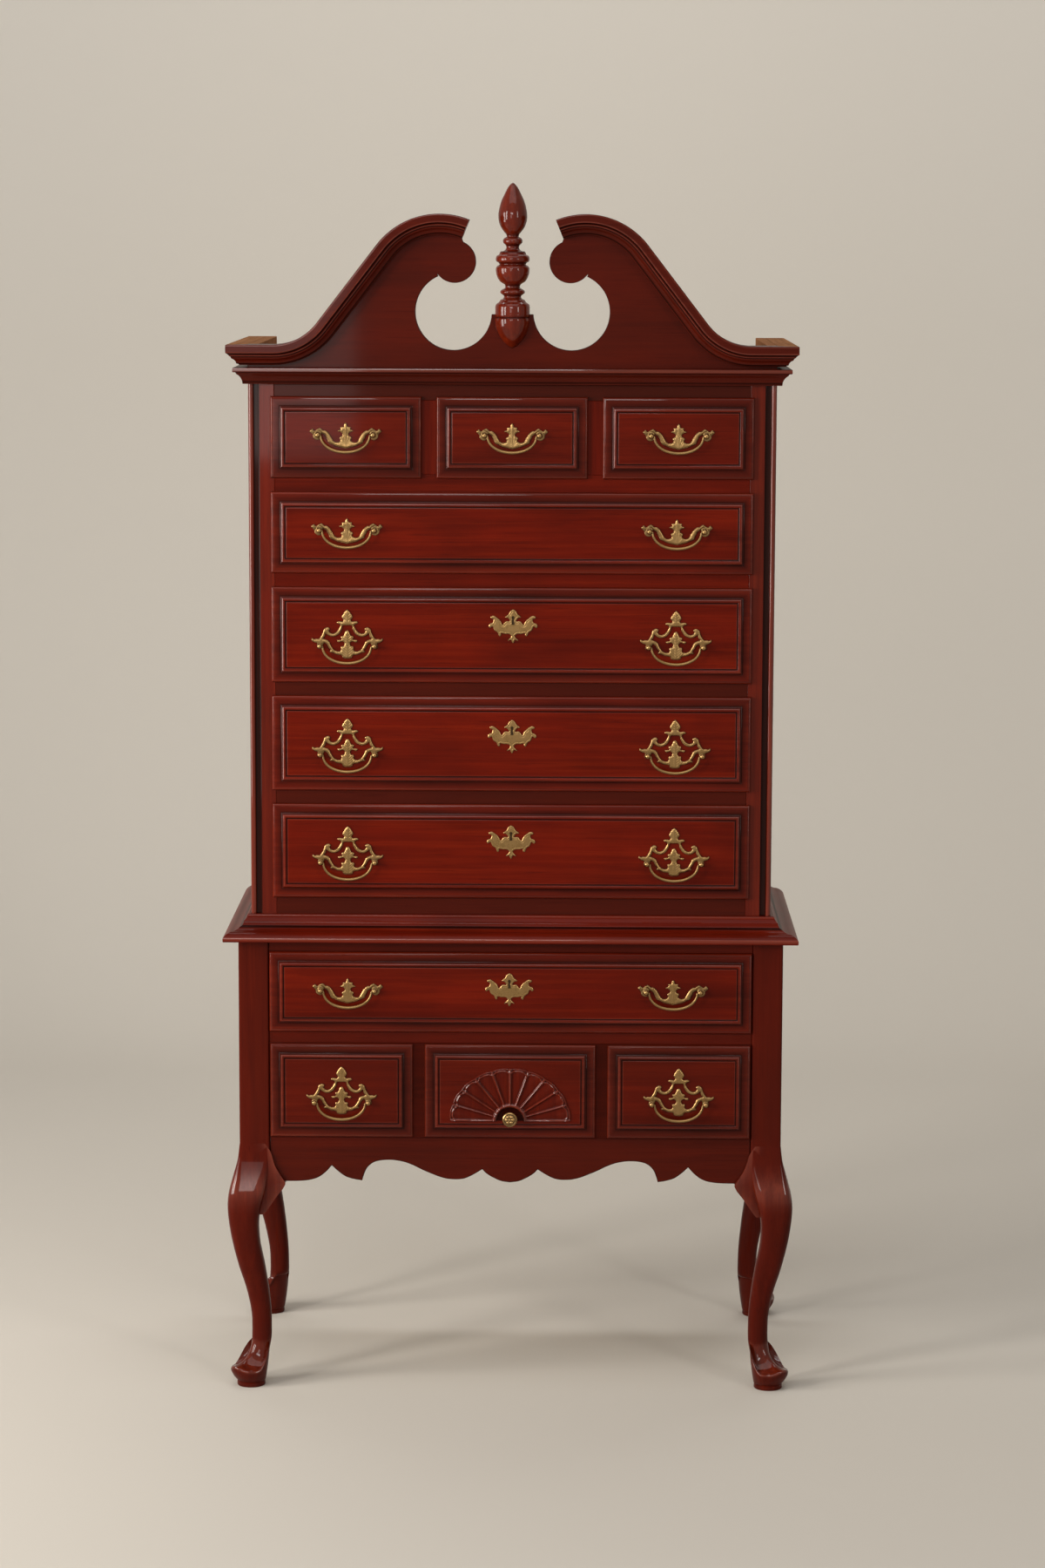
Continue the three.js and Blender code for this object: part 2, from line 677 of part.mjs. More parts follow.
// The ring of a moulding at a corner or an end of the case, mitred outward on the front.
function caseRing(points, side, y, top, wallX, wallY) {
  return points.map(({ down, out }) => new THREE.Vector3(
    side * (wallX + out), y === null ? wallY - out : y, top - down));
}

const wallX = upperHalf + seatGap;
const boardFront = -boardProud;
const wallY = boardFront - seatGap;

function threeSided(shares, height, reach, top, frontWall) {
  const points = profilePoints(shares, height, reach);
  const outline = points.map(({ down, out }) => new THREE.Vector2(out, -down));
  const ring = (side, y) => caseRing(points, side, y, top, wallX, frontWall);
  return loft([ring(-1, caseDepth), ring(-1, null), ring(1, null), ring(1, caseDepth)], outline);
}

const bedHeight = bedRise - 2 * seatGap;
const bed = threeSided(bedProfileShares, bedHeight, bedReach, bedTop, wallY);
assembly.add(piece('bed_moulding', bed, wood));

function waist() {
  const moulding = threeSided(waistProfileShares, waistHeight, waistReach, waistTop, -seatGap);
  const wide = [-upperHalf - waistReach / 2, upperHalf + waistReach / 2];
  const deep = [-waistReach / 2, caseDepth];
  const layer = [lowerTop, lowerTop + waistLedge];
  const hole = block(
    [waistLedgeWidth - lowerHalf, lowerHalf - waistLedgeWidth],
    [waistLedgeWidth + lowerFront, caseDepth - waistLedgeWidth / 2],
    [lowerTop - waistLedge, lowerTop + 2 * waistLedge]);
  return joined([moulding, block(wide, deep, layer)], [hole]);
}
assembly.add(piece('waist_moulding', waist(), wood));

// Pediment: a straight run, a hollow curve, a straight rise and a round crest.
const scrollCrest = corniceTop + scrollRise;
const crestCentreZ = scrollCrest - crestRadius;
const openingZ = scrollCrest - openingDrop;
const plinthTop = openingZ - plinthDrop;
const riseTop = { x: -scrollCrestX - crestRadius * Math.sin(scrollAngle) };
riseTop.z = crestCentreZ + crestRadius * Math.cos(scrollAngle);
const riseFoot = { z: corniceTop + valleyRadius * (1 - Math.cos(scrollAngle)) };
riseFoot.x = riseTop.x - (riseTop.z - riseFoot.z) / Math.tan(scrollAngle);
const valleyX = riseFoot.x - valleyRadius * Math.sin(scrollAngle);

// Stations along the scroll of the left side: each gives the place a given depth under its edge.
const stations = [];
for (let i = 0; i <= arcSteps; i++) {
  const turn = scrollAngle * i / arcSteps;
  stations.push((down) => new THREE.Vector2(
    valleyX + (valleyRadius + down) * Math.sin(turn),
    corniceTop + valleyRadius - (valleyRadius + down) * Math.cos(turn)));
}
for (let i = 0; i <= arcSteps; i++) {
  const turn = scrollAngle - (scrollAngle + scrollEndAngle) * i / arcSteps;
  stations.push((down) => new THREE.Vector2(
    -scrollCrestX - (crestRadius - down) * Math.sin(turn),
    crestCentreZ + (crestRadius - down) * Math.cos(turn)));
}

function scrollMoulding(side) {
  const points = profilePoints(crownProfileShares, crownWidth, crownReach);
  const outline = points.map(({ down, out }) => new THREE.Vector2(out, -down));
  const start = [
    caseRing(points, side, caseDepth, corniceTop, wallX, wallY),
    caseRing(points, side, null, corniceTop, wallX, wallY),
  ];
  const along = stations.map((station) => points.map(({ down, out }) => {
    const { x, y } = station(down);
    return new THREE.Vector3(-side * x, wallY - out, y);
  }));
  return loft([...start, ...along], outline);
}
assembly.add(piece('left_scroll_moulding', scrollMoulding(-1), wood));
assembly.add(piece('right_scroll_moulding', scrollMoulding(1), wood));

function pedimentBoard() {
  const edge = stations.map((station) => station(0));
  const end = stations[stations.length - 1](crownWidth);
  const path = new THREE.Path();
  path.moveTo(-upperHalf, upperTop + seatGap);
  path.lineTo(-upperHalf, corniceTop);
  edge.forEach(({ x, y }) => path.lineTo(x, y));
  path.lineTo(end.x, end.y);
  const lobeZ = scrollCrest - lobeDrop;
  const lobeStart = Math.atan2(end.y - lobeZ, end.x + lobeX);
  path.absarc(-lobeX, lobeZ, lobeRadius, lobeStart, lobeEndTurn, true);
  const openingEndTurn = -Math.asin(plinthDrop / openingRadius);
  path.absarc(-openingX, openingZ, openingRadius, openingStartTurn, openingEndTurn, false);
  const half = path.getPoints(arcSteps);
  const kept = half.filter((point, i) => i === 0 || point.distanceTo(half[i - 1]) > seatGap);
  return plate(new THREE.Shape(mirrored(kept)), frameThickness + boardProud, frameThickness);
}
const lobeEndTurn = THREE.MathUtils.degToRad(-146);
const openingStartTurn = THREE.MathUtils.degToRad(114);
assembly.add(piece('pediment_board', pedimentBoard(), wood));

function finial() {
  const profile = finialProfileShares.map(([r, z]) => [r * finialRadius, z * finialHeight]);
  const shaft = turned(profile, finialSides).rotateX(Math.PI / 2);
  shaft.translate(0, boardFront + finialSetback, bedTop + finialLift);
  const cut = block(
    [-2 * finialRadius, 2 * finialRadius], [boardFront - seatGap, 2 * finialRadius],
    [bedTop, plinthTop + seatGap]);
  return joined([shaft], [cut]);
}
assembly.add(piece('finial', finial(), wood));

// Lower case
const kneeTop = panelDrawerBottom - kneeDrop;
const apronLow = panelDrawerBottom - apronHeight;
const sideApronLow = apronLow + sideApronLift;

function leg(sideX, sideY) {
  const outline = circle(legSides);
  const wallBack = sideY < 0 ? lowerFront : caseDepth;
  const ring = (z, out, inside, square, kick) => outline.map(({ x, y }) => {
    const half = (inside + out) / 2;
    const middle = (out - inside) / 2;
    const curve = (value) => Math.sign(value) * Math.abs(value) ** (2 / square) * half;
    return new THREE.Vector3(
      sideX * (lowerHalf + middle) + curve(x), wallBack + sideY * (middle + kick) + curve(y), z);
  });
  const rings = legSectionShares.map(([height, out, inside, square]) => {
    const kick = sideY < 0 ? 0 : rearKick * (1 - THREE.MathUtils.smoothstep(height, 0, 1));
    return ring(height * kneeTop, out * postSize, inside * postSize, square, kick);
  });
  const squarePost = ring(lowerTop - seatGap, 0, postSize, legSectionShares[0][3], 0);
  const shaft = loft([squarePost, ...rings], outline);
  const blocks = [kneeBlock(sideX, sideY, false)];
  if (sideY < 0) blocks.push(kneeBlock(sideX, sideY, true));
  const sideRoom = lowerHalf - lowerSideSetback + seatGap;
  const rooms = [
    block([-postInner, postInner], [railFront - seatGap, caseDepth], [apronLow - seatGap, lowerTop]),
    block([-sideRoom, sideRoom], [lowerFront + postSize, caseDepth - postSize],
      [sideApronLow - seatGap, lowerTop]),
  ];
  return joined([shaft, ...blocks], rooms);
}

// The bracket that carries the knee's curve on to the apron or to the side. Shares: how far down
// its drop, then how far it runs along the case and stands proud, of its width and proudness.
const kneeBlockShares = [
  [0, -0.3, 0.05], [0.12, 0.08, 0.2], [0.3, 0.34, 0.55], [0.45, 0.74, 0.85], [0.54, 1, 1],
  [0.6, 0.93, 1], [0.7, 0.56, 0.95], [0.82, 0.2, 0.8], [0.93, -0.14, 0.5], [1, -0.4, 0.2],
];
function kneeBlock(sideX, sideY, onFront) {
  const root = -postSize / 2;
  const behind = kneeBlockProud - kneeBlockThickness;
  const corners = [[0, 0], [1, 0], [1, 1], [0, 1]];
  const rings = kneeBlockShares.map(([down, across, proud]) => {
    const [ends, faces] = [[root, across * kneeBlockWidth], [behind, proud * kneeBlockProud]];
    return corners.map(([i, j]) => {
      const [along, out] = [ends[i], faces[j]];
      const z = kneeTop - down * kneeBlockDrop;
      if (onFront) return new THREE.Vector3(sideX * (postInner - along), lowerFront - out, z);
      const wall = sideY < 0 ? lowerFront + postSize : caseDepth - postSize;
      return new THREE.Vector3(sideX * (lowerHalf + out), wall - sideY * along, z);
    });
  });
  return loft(rings, corners.map(([i, j]) => new THREE.Vector2(i, j)));
}

const legPlaces = [
  ['front_left_leg', -1, -1], ['front_right_leg', 1, -1],
  ['rear_left_leg', -1, 1], ['rear_right_leg', 1, 1],
];
for (const [name, sideX, sideY] of legPlaces) assembly.add(piece(name, leg(sideX, sideY), wood));

const lowerFloor = panelDrawerBottom + lipOverlap;
const panelTop = panelDrawerBottom + panelDrawerHeight - lipOverlap;
const rowFloor = lowerRowFloor + lipOverlap;
const rowTop = lowerRowFloor + lowerShortFront - lipOverlap;

function apron() {
  const half = postInner - seatGap;
  const edge = scaledShares(apronEdgeShares, half, apronRelief);
  const raised = edge.map(({ x, y }) => new THREE.Vector2(x, apronLow + y));
  const outline = mirrored([...raised, new THREE.Vector2(half, lowerFloor)]);
  return plate(new THREE.Shape(outline), apronThickness, railFront + apronThickness);
}

function lowerSide(side) {
  const near = lowerFront + postSize + seatGap;
  const far = caseDepth - postSize - seatGap;
  const shape = new THREE.Shape();
  const middle = (near + far) / 2;
  shape.moveTo(near, sideApronLow);
  shape.quadraticCurveTo(middle, sideApronLow + 2 * sideApronArch, far, sideApronLow);
  shape.lineTo(far, lowerTop - seatGap);
  shape.lineTo(near, lowerTop - seatGap);
  const settings = { depth: sideThickness, bevelEnabled: false, curveSegments: arcSteps };
  const geometry = new THREE.ExtrudeGeometry(shape, settings);
  geometry.rotateX(Math.PI / 2).rotateZ(Math.PI / 2);
  const outer = lowerHalf - lowerSideSetback;
  return geometry.translate(side > 0 ? outer - sideThickness : -outer, 0, 0);
}

function lowerFrame() {
  const across = [seatGap - postInner, postInner - seatGap];
  const thick = [railFront, railFront + apronThickness];
  const pieces = [
    block(across, thick, [rowTop, lowerTop - seatGap]),
    block(across, thick, [panelTop, rowFloor - jointStep]),
  ];
  const sideFace = lowerHalf - lowerSideSetback - sideThickness - seatGap;
  const guideInner = lowerFrontWidth / 2 - lipOverlap;
  const posts = [lowerFront + postSize + seatGap, caseDepth - postSize - seatGap];
  const inner = postInner - seatGap - jointStep;
  const runnerInner = guideInner - runnerWidth / 2;
  for (const side of [-1, 1]) {
    const runner = sided(side, [runnerInner, inner]);
    const guide = sided(side, [guideInner, sideFace - jointStep]);
    const cleat = sided(side, [guideInner + jointStep, sideFace]);
    const railMiddle = railFront + apronThickness / 2;
    const behindApron = railFront + apronThickness + seatGap;
    const back = backRailFront + jointStep;
    pieces.push(block(runner, [railMiddle, back], [rowFloor - runnerHeight, rowFloor]));
    pieces.push(block(runner, [behindApron, back], [lowerFloor - runnerHeight, lowerFloor]));
    const kicker = [rowTop + boxTopClearance, lowerTop - seatGap - jointStep];
    pieces.push(block(sided(side, [runnerInner, inner - jointStep]), [railMiddle, back], kicker));
    for (const top of [rowFloor, lowerFloor]) {
      const layer = [top - runnerHeight + jointStep, top + guideHeight];
      pieces.push(block(guide, [posts[0] + jointStep, posts[1] - jointStep], layer));
    }
    for (const y of [posts[0], posts[1] - cleatThickness]) {
      const layer = [lowerFloor - runnerHeight + 2 * jointStep, lowerTop - seatGap - 2 * jointStep];
      pieces.push(block(cleat, [y, y + cleatThickness], layer));
    }
  }
  for (const top of [rowFloor, lowerFloor]) {
    const layer = [top - runnerHeight + 2 * jointStep, top - jointStep];
    pieces.push(block(across, [backRailFront, backRailBack], layer));
  }
  return joined(pieces);
}

assembly.add(piece('apron', apron(), wood));
assembly.add(piece('lower_left_side', lowerSide(-1), wood));
assembly.add(piece('lower_right_side', lowerSide(1), wood));
assembly.add(piece('lower_drawer_frame', lowerFrame(), wood));
const lowerBackLayer = [lowerFloor - 2 * runnerHeight, lowerTop - seatGap];
const lowerBackSpan = [seatGap - postInner, postInner - seatGap];
assembly.add(piece('lower_back', block(lowerBackSpan, backSpan, lowerBackLayer), innerWood));

// The origin sits on the floor under the middle of the whole piece.
const extent = new THREE.Box3().setFromObject(assembly, true);
assembly.position.set(0, -(extent.min.y + extent.max.y) / 2, -extent.min.z);

const highboy = new THREE.Group();
highboy.name = 'highboy';
highboy.add(assembly);
highboy.updateMatrixWorld(true);

export default highboy;
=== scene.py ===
# %% [markdown]
# # A highboy, dressed for a portrait
#
# This file takes the plain solids of a chest of drawers on a low case with cabriole legs and
# dresses them. The imported model is the frame: it settles every place and every size. First the
# frame is loaded, and its solids are kept, to be read for places and sizes.

# %% Load the frame
import json
import math

import bpy
import numpy as np
from mathutils import Matrix, Vector
from mathutils.geometry import delaunay_2d_cdt


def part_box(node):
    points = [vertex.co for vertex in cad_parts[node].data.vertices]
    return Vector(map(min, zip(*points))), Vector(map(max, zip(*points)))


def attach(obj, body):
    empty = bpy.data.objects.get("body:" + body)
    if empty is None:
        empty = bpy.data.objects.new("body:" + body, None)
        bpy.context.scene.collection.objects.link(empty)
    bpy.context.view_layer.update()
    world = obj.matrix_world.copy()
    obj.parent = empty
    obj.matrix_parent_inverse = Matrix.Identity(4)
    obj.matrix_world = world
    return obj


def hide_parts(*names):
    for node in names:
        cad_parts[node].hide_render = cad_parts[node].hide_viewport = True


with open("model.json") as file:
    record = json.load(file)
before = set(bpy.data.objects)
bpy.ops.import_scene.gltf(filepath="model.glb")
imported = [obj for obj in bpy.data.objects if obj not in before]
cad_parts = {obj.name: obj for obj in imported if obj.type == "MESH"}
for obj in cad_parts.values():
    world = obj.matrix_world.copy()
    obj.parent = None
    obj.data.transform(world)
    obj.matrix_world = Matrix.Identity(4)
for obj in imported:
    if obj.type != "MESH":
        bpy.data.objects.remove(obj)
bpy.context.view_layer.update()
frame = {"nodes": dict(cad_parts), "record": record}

MM = 0.001

# %% [markdown]
# ## The camera
#
# The picture was taken from eye height, a little to the right of the middle, with a long lens.
# A camera could be aimed by eye, but here its tilt, turn and roll were solved from the straight
# edges of the cases, so they are written as three angles and turned into its axes.

# %% Camera
def aim_camera(place, pitch, yaw, roll, lens):
    """Axes: forward = (sin yaw cos pitch, cos yaw cos pitch, -sin pitch), then right and up rolled."""
    forward = Vector((math.sin(yaw) * math.cos(pitch), math.cos(yaw) * math.cos(pitch), -math.sin(pitch)))
    level = Vector((math.cos(yaw), -math.sin(yaw), 0))
    above = level.cross(forward)
    right = level * math.cos(roll) + above * math.sin(roll)
    up = above * math.cos(roll) - level * math.sin(roll)
    camera = bpy.data.objects.new("camera", bpy.data.cameras.new("camera"))
    camera.data.lens = lens
    camera.data.clip_end = 100
    camera.matrix_world = Matrix.Translation(place) @ Matrix((right, up, -forward)).transposed().to_4x4()
    bpy.context.scene.collection.objects.link(camera)
    bpy.context.scene.camera = camera
    return camera


EYE = Vector((0.0921, -6.549, 1.9354))
camera = aim_camera(EYE, pitch=0.1441, yaw=-0.0116, roll=0.0033, lens=89.94)
bpy.context.scene.view_settings.view_transform = "Standard"
print("camera:", tuple(round(x, 3) for x in camera.location))

# %% [markdown]
# ## Making a piece
#
# Every piece below is worked out as whole arrays of points in millimetres, and one helper turns
# them into a mesh. It finds out by the signed volume whether the faces point in or out, and it
# stores marks on the points for the finish to read. Every piece gets two of them: `figure`, its
# own place in the wood's figure, so that no two boards look alike, and `deep`, how much darker
# it is than the drawers, partly by a darker stain and partly by painted shade on pieces that lie
# in shade, such as the rails under the drawers' lips. Others, such as the mark of glaze and painted
# shade in the quirks, come with the piece.

# %% One helper for every piece
BROAD = 6.0
FIGURE = np.random.default_rng(7).uniform(0, 40, 400).tolist()
# Darker by a deeper stain on some pieces, and by painted shade on pieces that lie in shade, such as the rails under the
# drawers' lips.
DARKER_STAIN_AND_SHADE = {
    "pediment": 0.60, "turned_finial": 0.30, "left_scroll": 0.65, "right_scroll": 0.70, "bed": 0.75,
    "upper_left_stile": 0.25, "upper_right_stile": 0.25, "upper_rail_6": 0.9, "upper_rail_5": 0.1,
    "upper_rail_4": 0.1, "upper_rail": 0.75, "upper": 0.15, "row1": 0.25, "row7": 0.35, "row6": 0.08,
    "front_apron": 0.6, "front_": 0.5, "rear_": 0.55, "lower": 0.5, "waist": 0.2}


def outward(points, faces):
    """Faces turned outward: the sum of a . (b x c) over their fans is positive when they are."""
    volume = 0
    for block in faces:
        a, b, c = points[block[:, :1]], points[block[:, 1:-1]], points[block[:, 2:]]
        volume += (a * np.cross(b, c)).sum()
    return faces if volume > 0 else [block[:, ::-1] for block in faces]


def broad_faces(points, faces):
    """Faces so broad that they are truly flat: twice the area over the way round is above BROAD mm.

    The area is half the length of the sum of a x b over the corners a, b that follow each other."""
    broad = []
    for block in faces:
        corner = points[block]
        after = np.roll(corner, -1, axis=1)
        area = np.linalg.norm(np.cross(corner, after).sum(1), axis=1) / 2
        broad.append(2 * area / (np.linalg.norm(after - corner, axis=-1).sum(1) + 1e-9) > BROAD)
    return np.concatenate(broad)


def make(name, shape, finish, body, stands_for=(), smooth=38, **marks):
    """A piece from (points in mm, blocks of faces), sharp where faces meet by more than `smooth` degrees.

    A mark is one number, a number for each point, or one for each point of a ring, which repeats."""
    points, faces = shape[0], outward(*shape)
    marks["figure"] = FIGURE.pop()
    marks["deep"] = next((share for start, share in DARKER_STAIN_AND_SHADE.items() if name.startswith(start)), 0.0)
    mesh = bpy.data.meshes.new(name)
    mesh.from_pydata((points * MM).tolist(), [], [face for block in faces for face in block.tolist()])
    for mark, values in marks.items():
        values = np.resize(np.asarray(values, np.float32), len(points))
        mesh.attributes.new(mark, "FLOAT", "POINT").data.foreach_set("value", values)
    mesh.set_sharp_from_angle(angle=math.radians(smooth))
    mesh.polygons.foreach_set("use_smooth", ~broad_faces(points, faces))
    piece = bpy.data.objects.new(name, mesh)
    bpy.context.scene.collection.objects.link(piece)
    mesh.materials.append(finish)
    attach(piece, body)
    if stands_for:
        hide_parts(*stands_for)
    return piece


def joined(*shapes):
    """Several closed shapes as one mesh: their points in a row, and their faces counted on."""
    points, faces, count = [], [], 0
    for some_points, some_faces in shapes:
        points.append(some_points)
        faces += [block + count for block in outward(some_points, some_faces)]
        count += len(some_points)
    return np.vstack(points), faces


def skin(rings):
    """Quads between neighbouring rings of a (rings, points, 3) array, and one face on each end."""
    rows, count = rings.shape[:2]
    number = np.arange(rows * count).reshape(rows, count)
    after = np.roll(number, -1, axis=1)
    quads = np.stack([number[:-1], after[:-1], after[1:], number[1:]], -1).reshape(-1, 4)
    return rings.reshape(-1, 3), [quads, number[:1, ::-1], number[-1:]]


def box(node):
    """Lowest and highest corner of a solid of the frame, in mm."""
    return [np.array(corner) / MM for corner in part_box(node)]


print("helpers ready")

# %% [markdown]
# ## Curves
#
# A cabinet maker draws an outline through a few points with a flexible spline. The same is done
# here with a Catmull-Rom curve whose knots follow the square root of the spacing, because that
# kind never loops between two close points. Corners are kept by drawing each side by itself.
# A few small curves that many pieces share, such as a smooth step and a ridge, come first.

# %% Curves through points
def ways(turn):
    """Unit steps (cos, sin) in the directions of some angles."""
    return np.stack([np.cos(turn), np.sin(turn)], -1)


def once_round(count):
    """Angles that go once round in even steps."""
    return np.linspace(0, 2 * math.pi, count, endpoint=False)


def smooth_step(values, first, last):
    """0 before first, 1 after last, and an S curve between."""
    share = np.clip((values - first) / (last - first), 0, 1)
    return share * share * (3 - 2 * share)


def ridge(distance, width):
    """A rounded ridge: 1 on its line, falling as a bell of that half width."""
    return np.exp(-(distance / width) ** 2)


def flowing(points, steps, closed=False):
    """Centripetal Catmull-Rom: three rounds of straight mixing between knots t0 to t3."""
    p = np.asarray(points, float)
    if closed:
        corners = [np.roll(p, shift, axis=0) for shift in (1, 0, -1, -2)]
    else:
        ends = np.vstack([2 * p[0] - p[1], p, 2 * p[-1] - p[-2]])
        corners = [ends[:-3], ends[1:-2], ends[2:-1], ends[3:]]
    a, b, c, d = (corner[:, None] for corner in corners)
    gap = lambda u, v: np.sqrt(np.linalg.norm(v - u, axis=-1, keepdims=True)) + 1e-9
    t1 = gap(a, b)
    t2 = t1 + gap(b, c)
    t3 = t2 + gap(c, d)
    t = t1 + (t2 - t1) * np.linspace(0, 1, steps, endpoint=False)[None, :, None]
    mix = lambda u, v, tu, tv: (u * (tv - t) + v * (t - tu)) / (tv - tu)
    left, middle, right = mix(a, b, 0, t1), mix(b, c, t1, t2), mix(c, d, t2, t3)
    curve = mix(mix(left, middle, 0, t2), mix(middle, right, t1, t3), t1, t2).reshape(-1, p.shape[1])
    return curve if closed else np.vstack([curve, p[-1]])


def arcs(*parts, steps=6):
    """A line of points (across, up) with a bulge before a point where the way to it is an arc.

    A bulge is the tangent of a quarter of the arc's angle, positive to the left of the way."""
    line, bulge = [np.array(parts[0], float)], 0
    for part in parts[1:]:
        if np.isscalar(part):
            bulge = part
            continue
        start, end = line[-1], np.array(part, float)
        if bulge:
            chord = end - start
            middle = (start + end) / 2 + np.array([-chord[1], chord[0]]) * (1 / bulge - bulge) / 4
            spoke, turn = start - middle, 4 * math.atan(bulge)
            way = ways(turn * np.arange(1, steps) / steps)
            line += list(middle + way[:, :1] * spoke + way[:, 1:] * [-spoke[1], spoke[0]])
        line.append(end)
        bulge = 0
    return np.array(line)


def mirrored(half):
    """A half outline that starts and ends on x = 0, joined with its mirror image."""
    half = np.asarray(half, float)
    other = half[np.abs(half[:, 0]) > 1e-6][::-1] * [-1, 1]
    return np.vstack([half, other])


def eased(first, last, ease):
    """Stations (place, inset) from first to last, drawn in by the ease at both ends."""
    return [(first, ease), (first + ease, 0), (last - ease, 0), (last, ease)]


def carried(outline, stations, plane, room=1):
    """Rings of a closed outline at stations (place, inset) along the axis that is square to its plane."""
    flat = ["xyz".index(letter) for letter in plane]
    rings = np.zeros((len(stations), len(outline), 3))
    for ring, (place, less) in zip(rings, stations):
        ring[:, flat] = inset(outline, less * room)
        ring[:, 3 - sum(flat)] = place
    return skin(rings)


def turning(outline):
    """1 for a closed outline that runs round to the left, -1 for one that runs to the right."""
    x, z = outline.T
    return np.sign((x * np.roll(z, -1) - np.roll(x, -1) * z).sum())


def inset(outline, width):
    """Moves a closed outline inward: each point slides along the mean of its edges' normals."""
    edge = np.roll(outline, -1, axis=0) - outline
    edge /= np.linalg.norm(edge, axis=1, keepdims=True) + 1e-9
    normal = np.stack([-edge[:, 1], edge[:, 0]], -1) * turning(outline)
    mean = normal + np.roll(normal, 1, axis=0)
    return outline + width * mean / np.maximum((mean ** 2).sum(1, keepdims=True) / 2, 0.7)


print("curves ready")

# %% [markdown]
# ## Colours by sums
#
# Finishes are mixed from noise. Long chains of nodes are hard to read, so one small class wraps a
# socket and lets Python's own signs add the nodes: `1 - mask * 0.5` becomes two of them. Any
# other node comes from one method that takes its type, its settings and the values it is fed.

# %% Node arithmetic
class Value:
    """A number that a material works out at each point of a surface."""

    def __init__(self, socket):
        self.socket = socket

    def math(self, operation, other):
        """A Math node on this value and another value or number."""
        tree = self.socket.node.id_data
        node = tree.nodes.new("ShaderNodeMath")
        node.operation = operation
        tree.links.new(self.socket, node.inputs[0])
        if isinstance(other, Value):
            tree.links.new(other.socket, node.inputs[1])
        else:
            node.inputs[1].default_value = other
        return Value(node.outputs[0])

    def __add__(self, other):
        return self.math("ADD", other)

    def __mul__(self, other):
        return self.math("MULTIPLY", other)

    def __sub__(self, other):
        return self.math("SUBTRACT", other)

    def __rsub__(self, other):
        return (self * -1) + other

    __radd__, __rmul__ = __add__, __mul__

    def clipped(self):
        """Kept between 0 and 1."""
        return self.math("MAXIMUM", 0.0).math("MINIMUM", 1.0)

    def spread(self, low, high):
        """0 at low and under, 1 at high and over, straight between them."""
        return ((self - low) * (1 / (high - low))).clipped()


class Finish:
    """A material under construction, with its Principled shader."""

    def __init__(self, name, slot=None, **constants):
        self.material = bpy.data.materials.new(name)
        self.material.use_nodes = True
        if slot:
            self.material["slot"] = slot
        self.tree = self.material.node_tree
        self.shader = self.tree.nodes["Principled BSDF"]
        self.feed_shader(constants)

    def feed(self, socket, value):
        """Links a value to a socket, or writes a constant into it."""
        if isinstance(value, Value):
            self.tree.links.new(value.socket, socket)
        else:
            socket.default_value = value

    def feed_shader(self, values):
        """Feeds the shader's sockets by name, with a low line for each space."""
        for name, value in values.items():
            self.feed(self.shader.inputs[name.replace("_", " ")], value)

    def node(self, kind, *fed, settings=(), output=0, **named):
        """Any node: settings, then sockets in their order, then sockets by name, then the output."""
        node = self.tree.nodes.new("ShaderNode" + kind)
        for key, value in settings:
            setattr(node, key, value)
        for socket, value in zip(node.inputs, fed):
            self.feed(socket, value)
        for name, value in named.items():
            self.feed(node.inputs[name], value)
        return Value(node.outputs[output])

    def vectors(self, operation, *fed, output=0):
        """A Vector Math node."""
        return self.node("VectorMath", *fed, settings=[("operation", operation)], output=output)

    def mark(self, name):
        """A number stored on the points of the piece."""
        return self.node("Attribute", settings=[("attribute_name", name)], output="Fac")

    def object_place(self):
        """Where a point lies, in the object's own coordinates."""
        return self.node("TexCoord", output="Object")

    def grain(self, axis, along, across, shift, scale, detail, roughness=0.55):
        """Noise from 0 to 1, drawn out along an axis and moved by the shift.

        The place is multiplied by `along` on that axis and by `across` on the two others."""
        scales = [along if letter == axis else across for letter in "xyz"]
        place = self.vectors("ADD", self.vectors("MULTIPLY", self.object_place(), scales), shift)
        return self.node("TexNoise", Vector=place, Scale=scale, Detail=detail, Roughness=roughness)

    def layered(self, colour, *layers):
        """A colour with others laid over it in turn, each as (share, colour)."""
        for share, other in layers:
            node = self.tree.nodes.new("ShaderNodeMix")
            node.data_type = "RGBA"
            for slot, value in ((0, share), (6, colour), (7, other)):
                self.feed(node.inputs[slot], value)
            colour = Value(node.outputs[2])
        return colour

    def surface(self, colour, roughness, height, distance, strength, **others):
        """Feeds the shader with a colour, a roughness and a height, which `distance` turns into metres."""
        normal = self.node("Bump", Strength=strength, Distance=distance, Height=height, output="Normal")
        self.feed_shader({"Base Color": colour, "Roughness": roughness, "Normal": normal, **others})
        return self.material


print("node arithmetic ready")
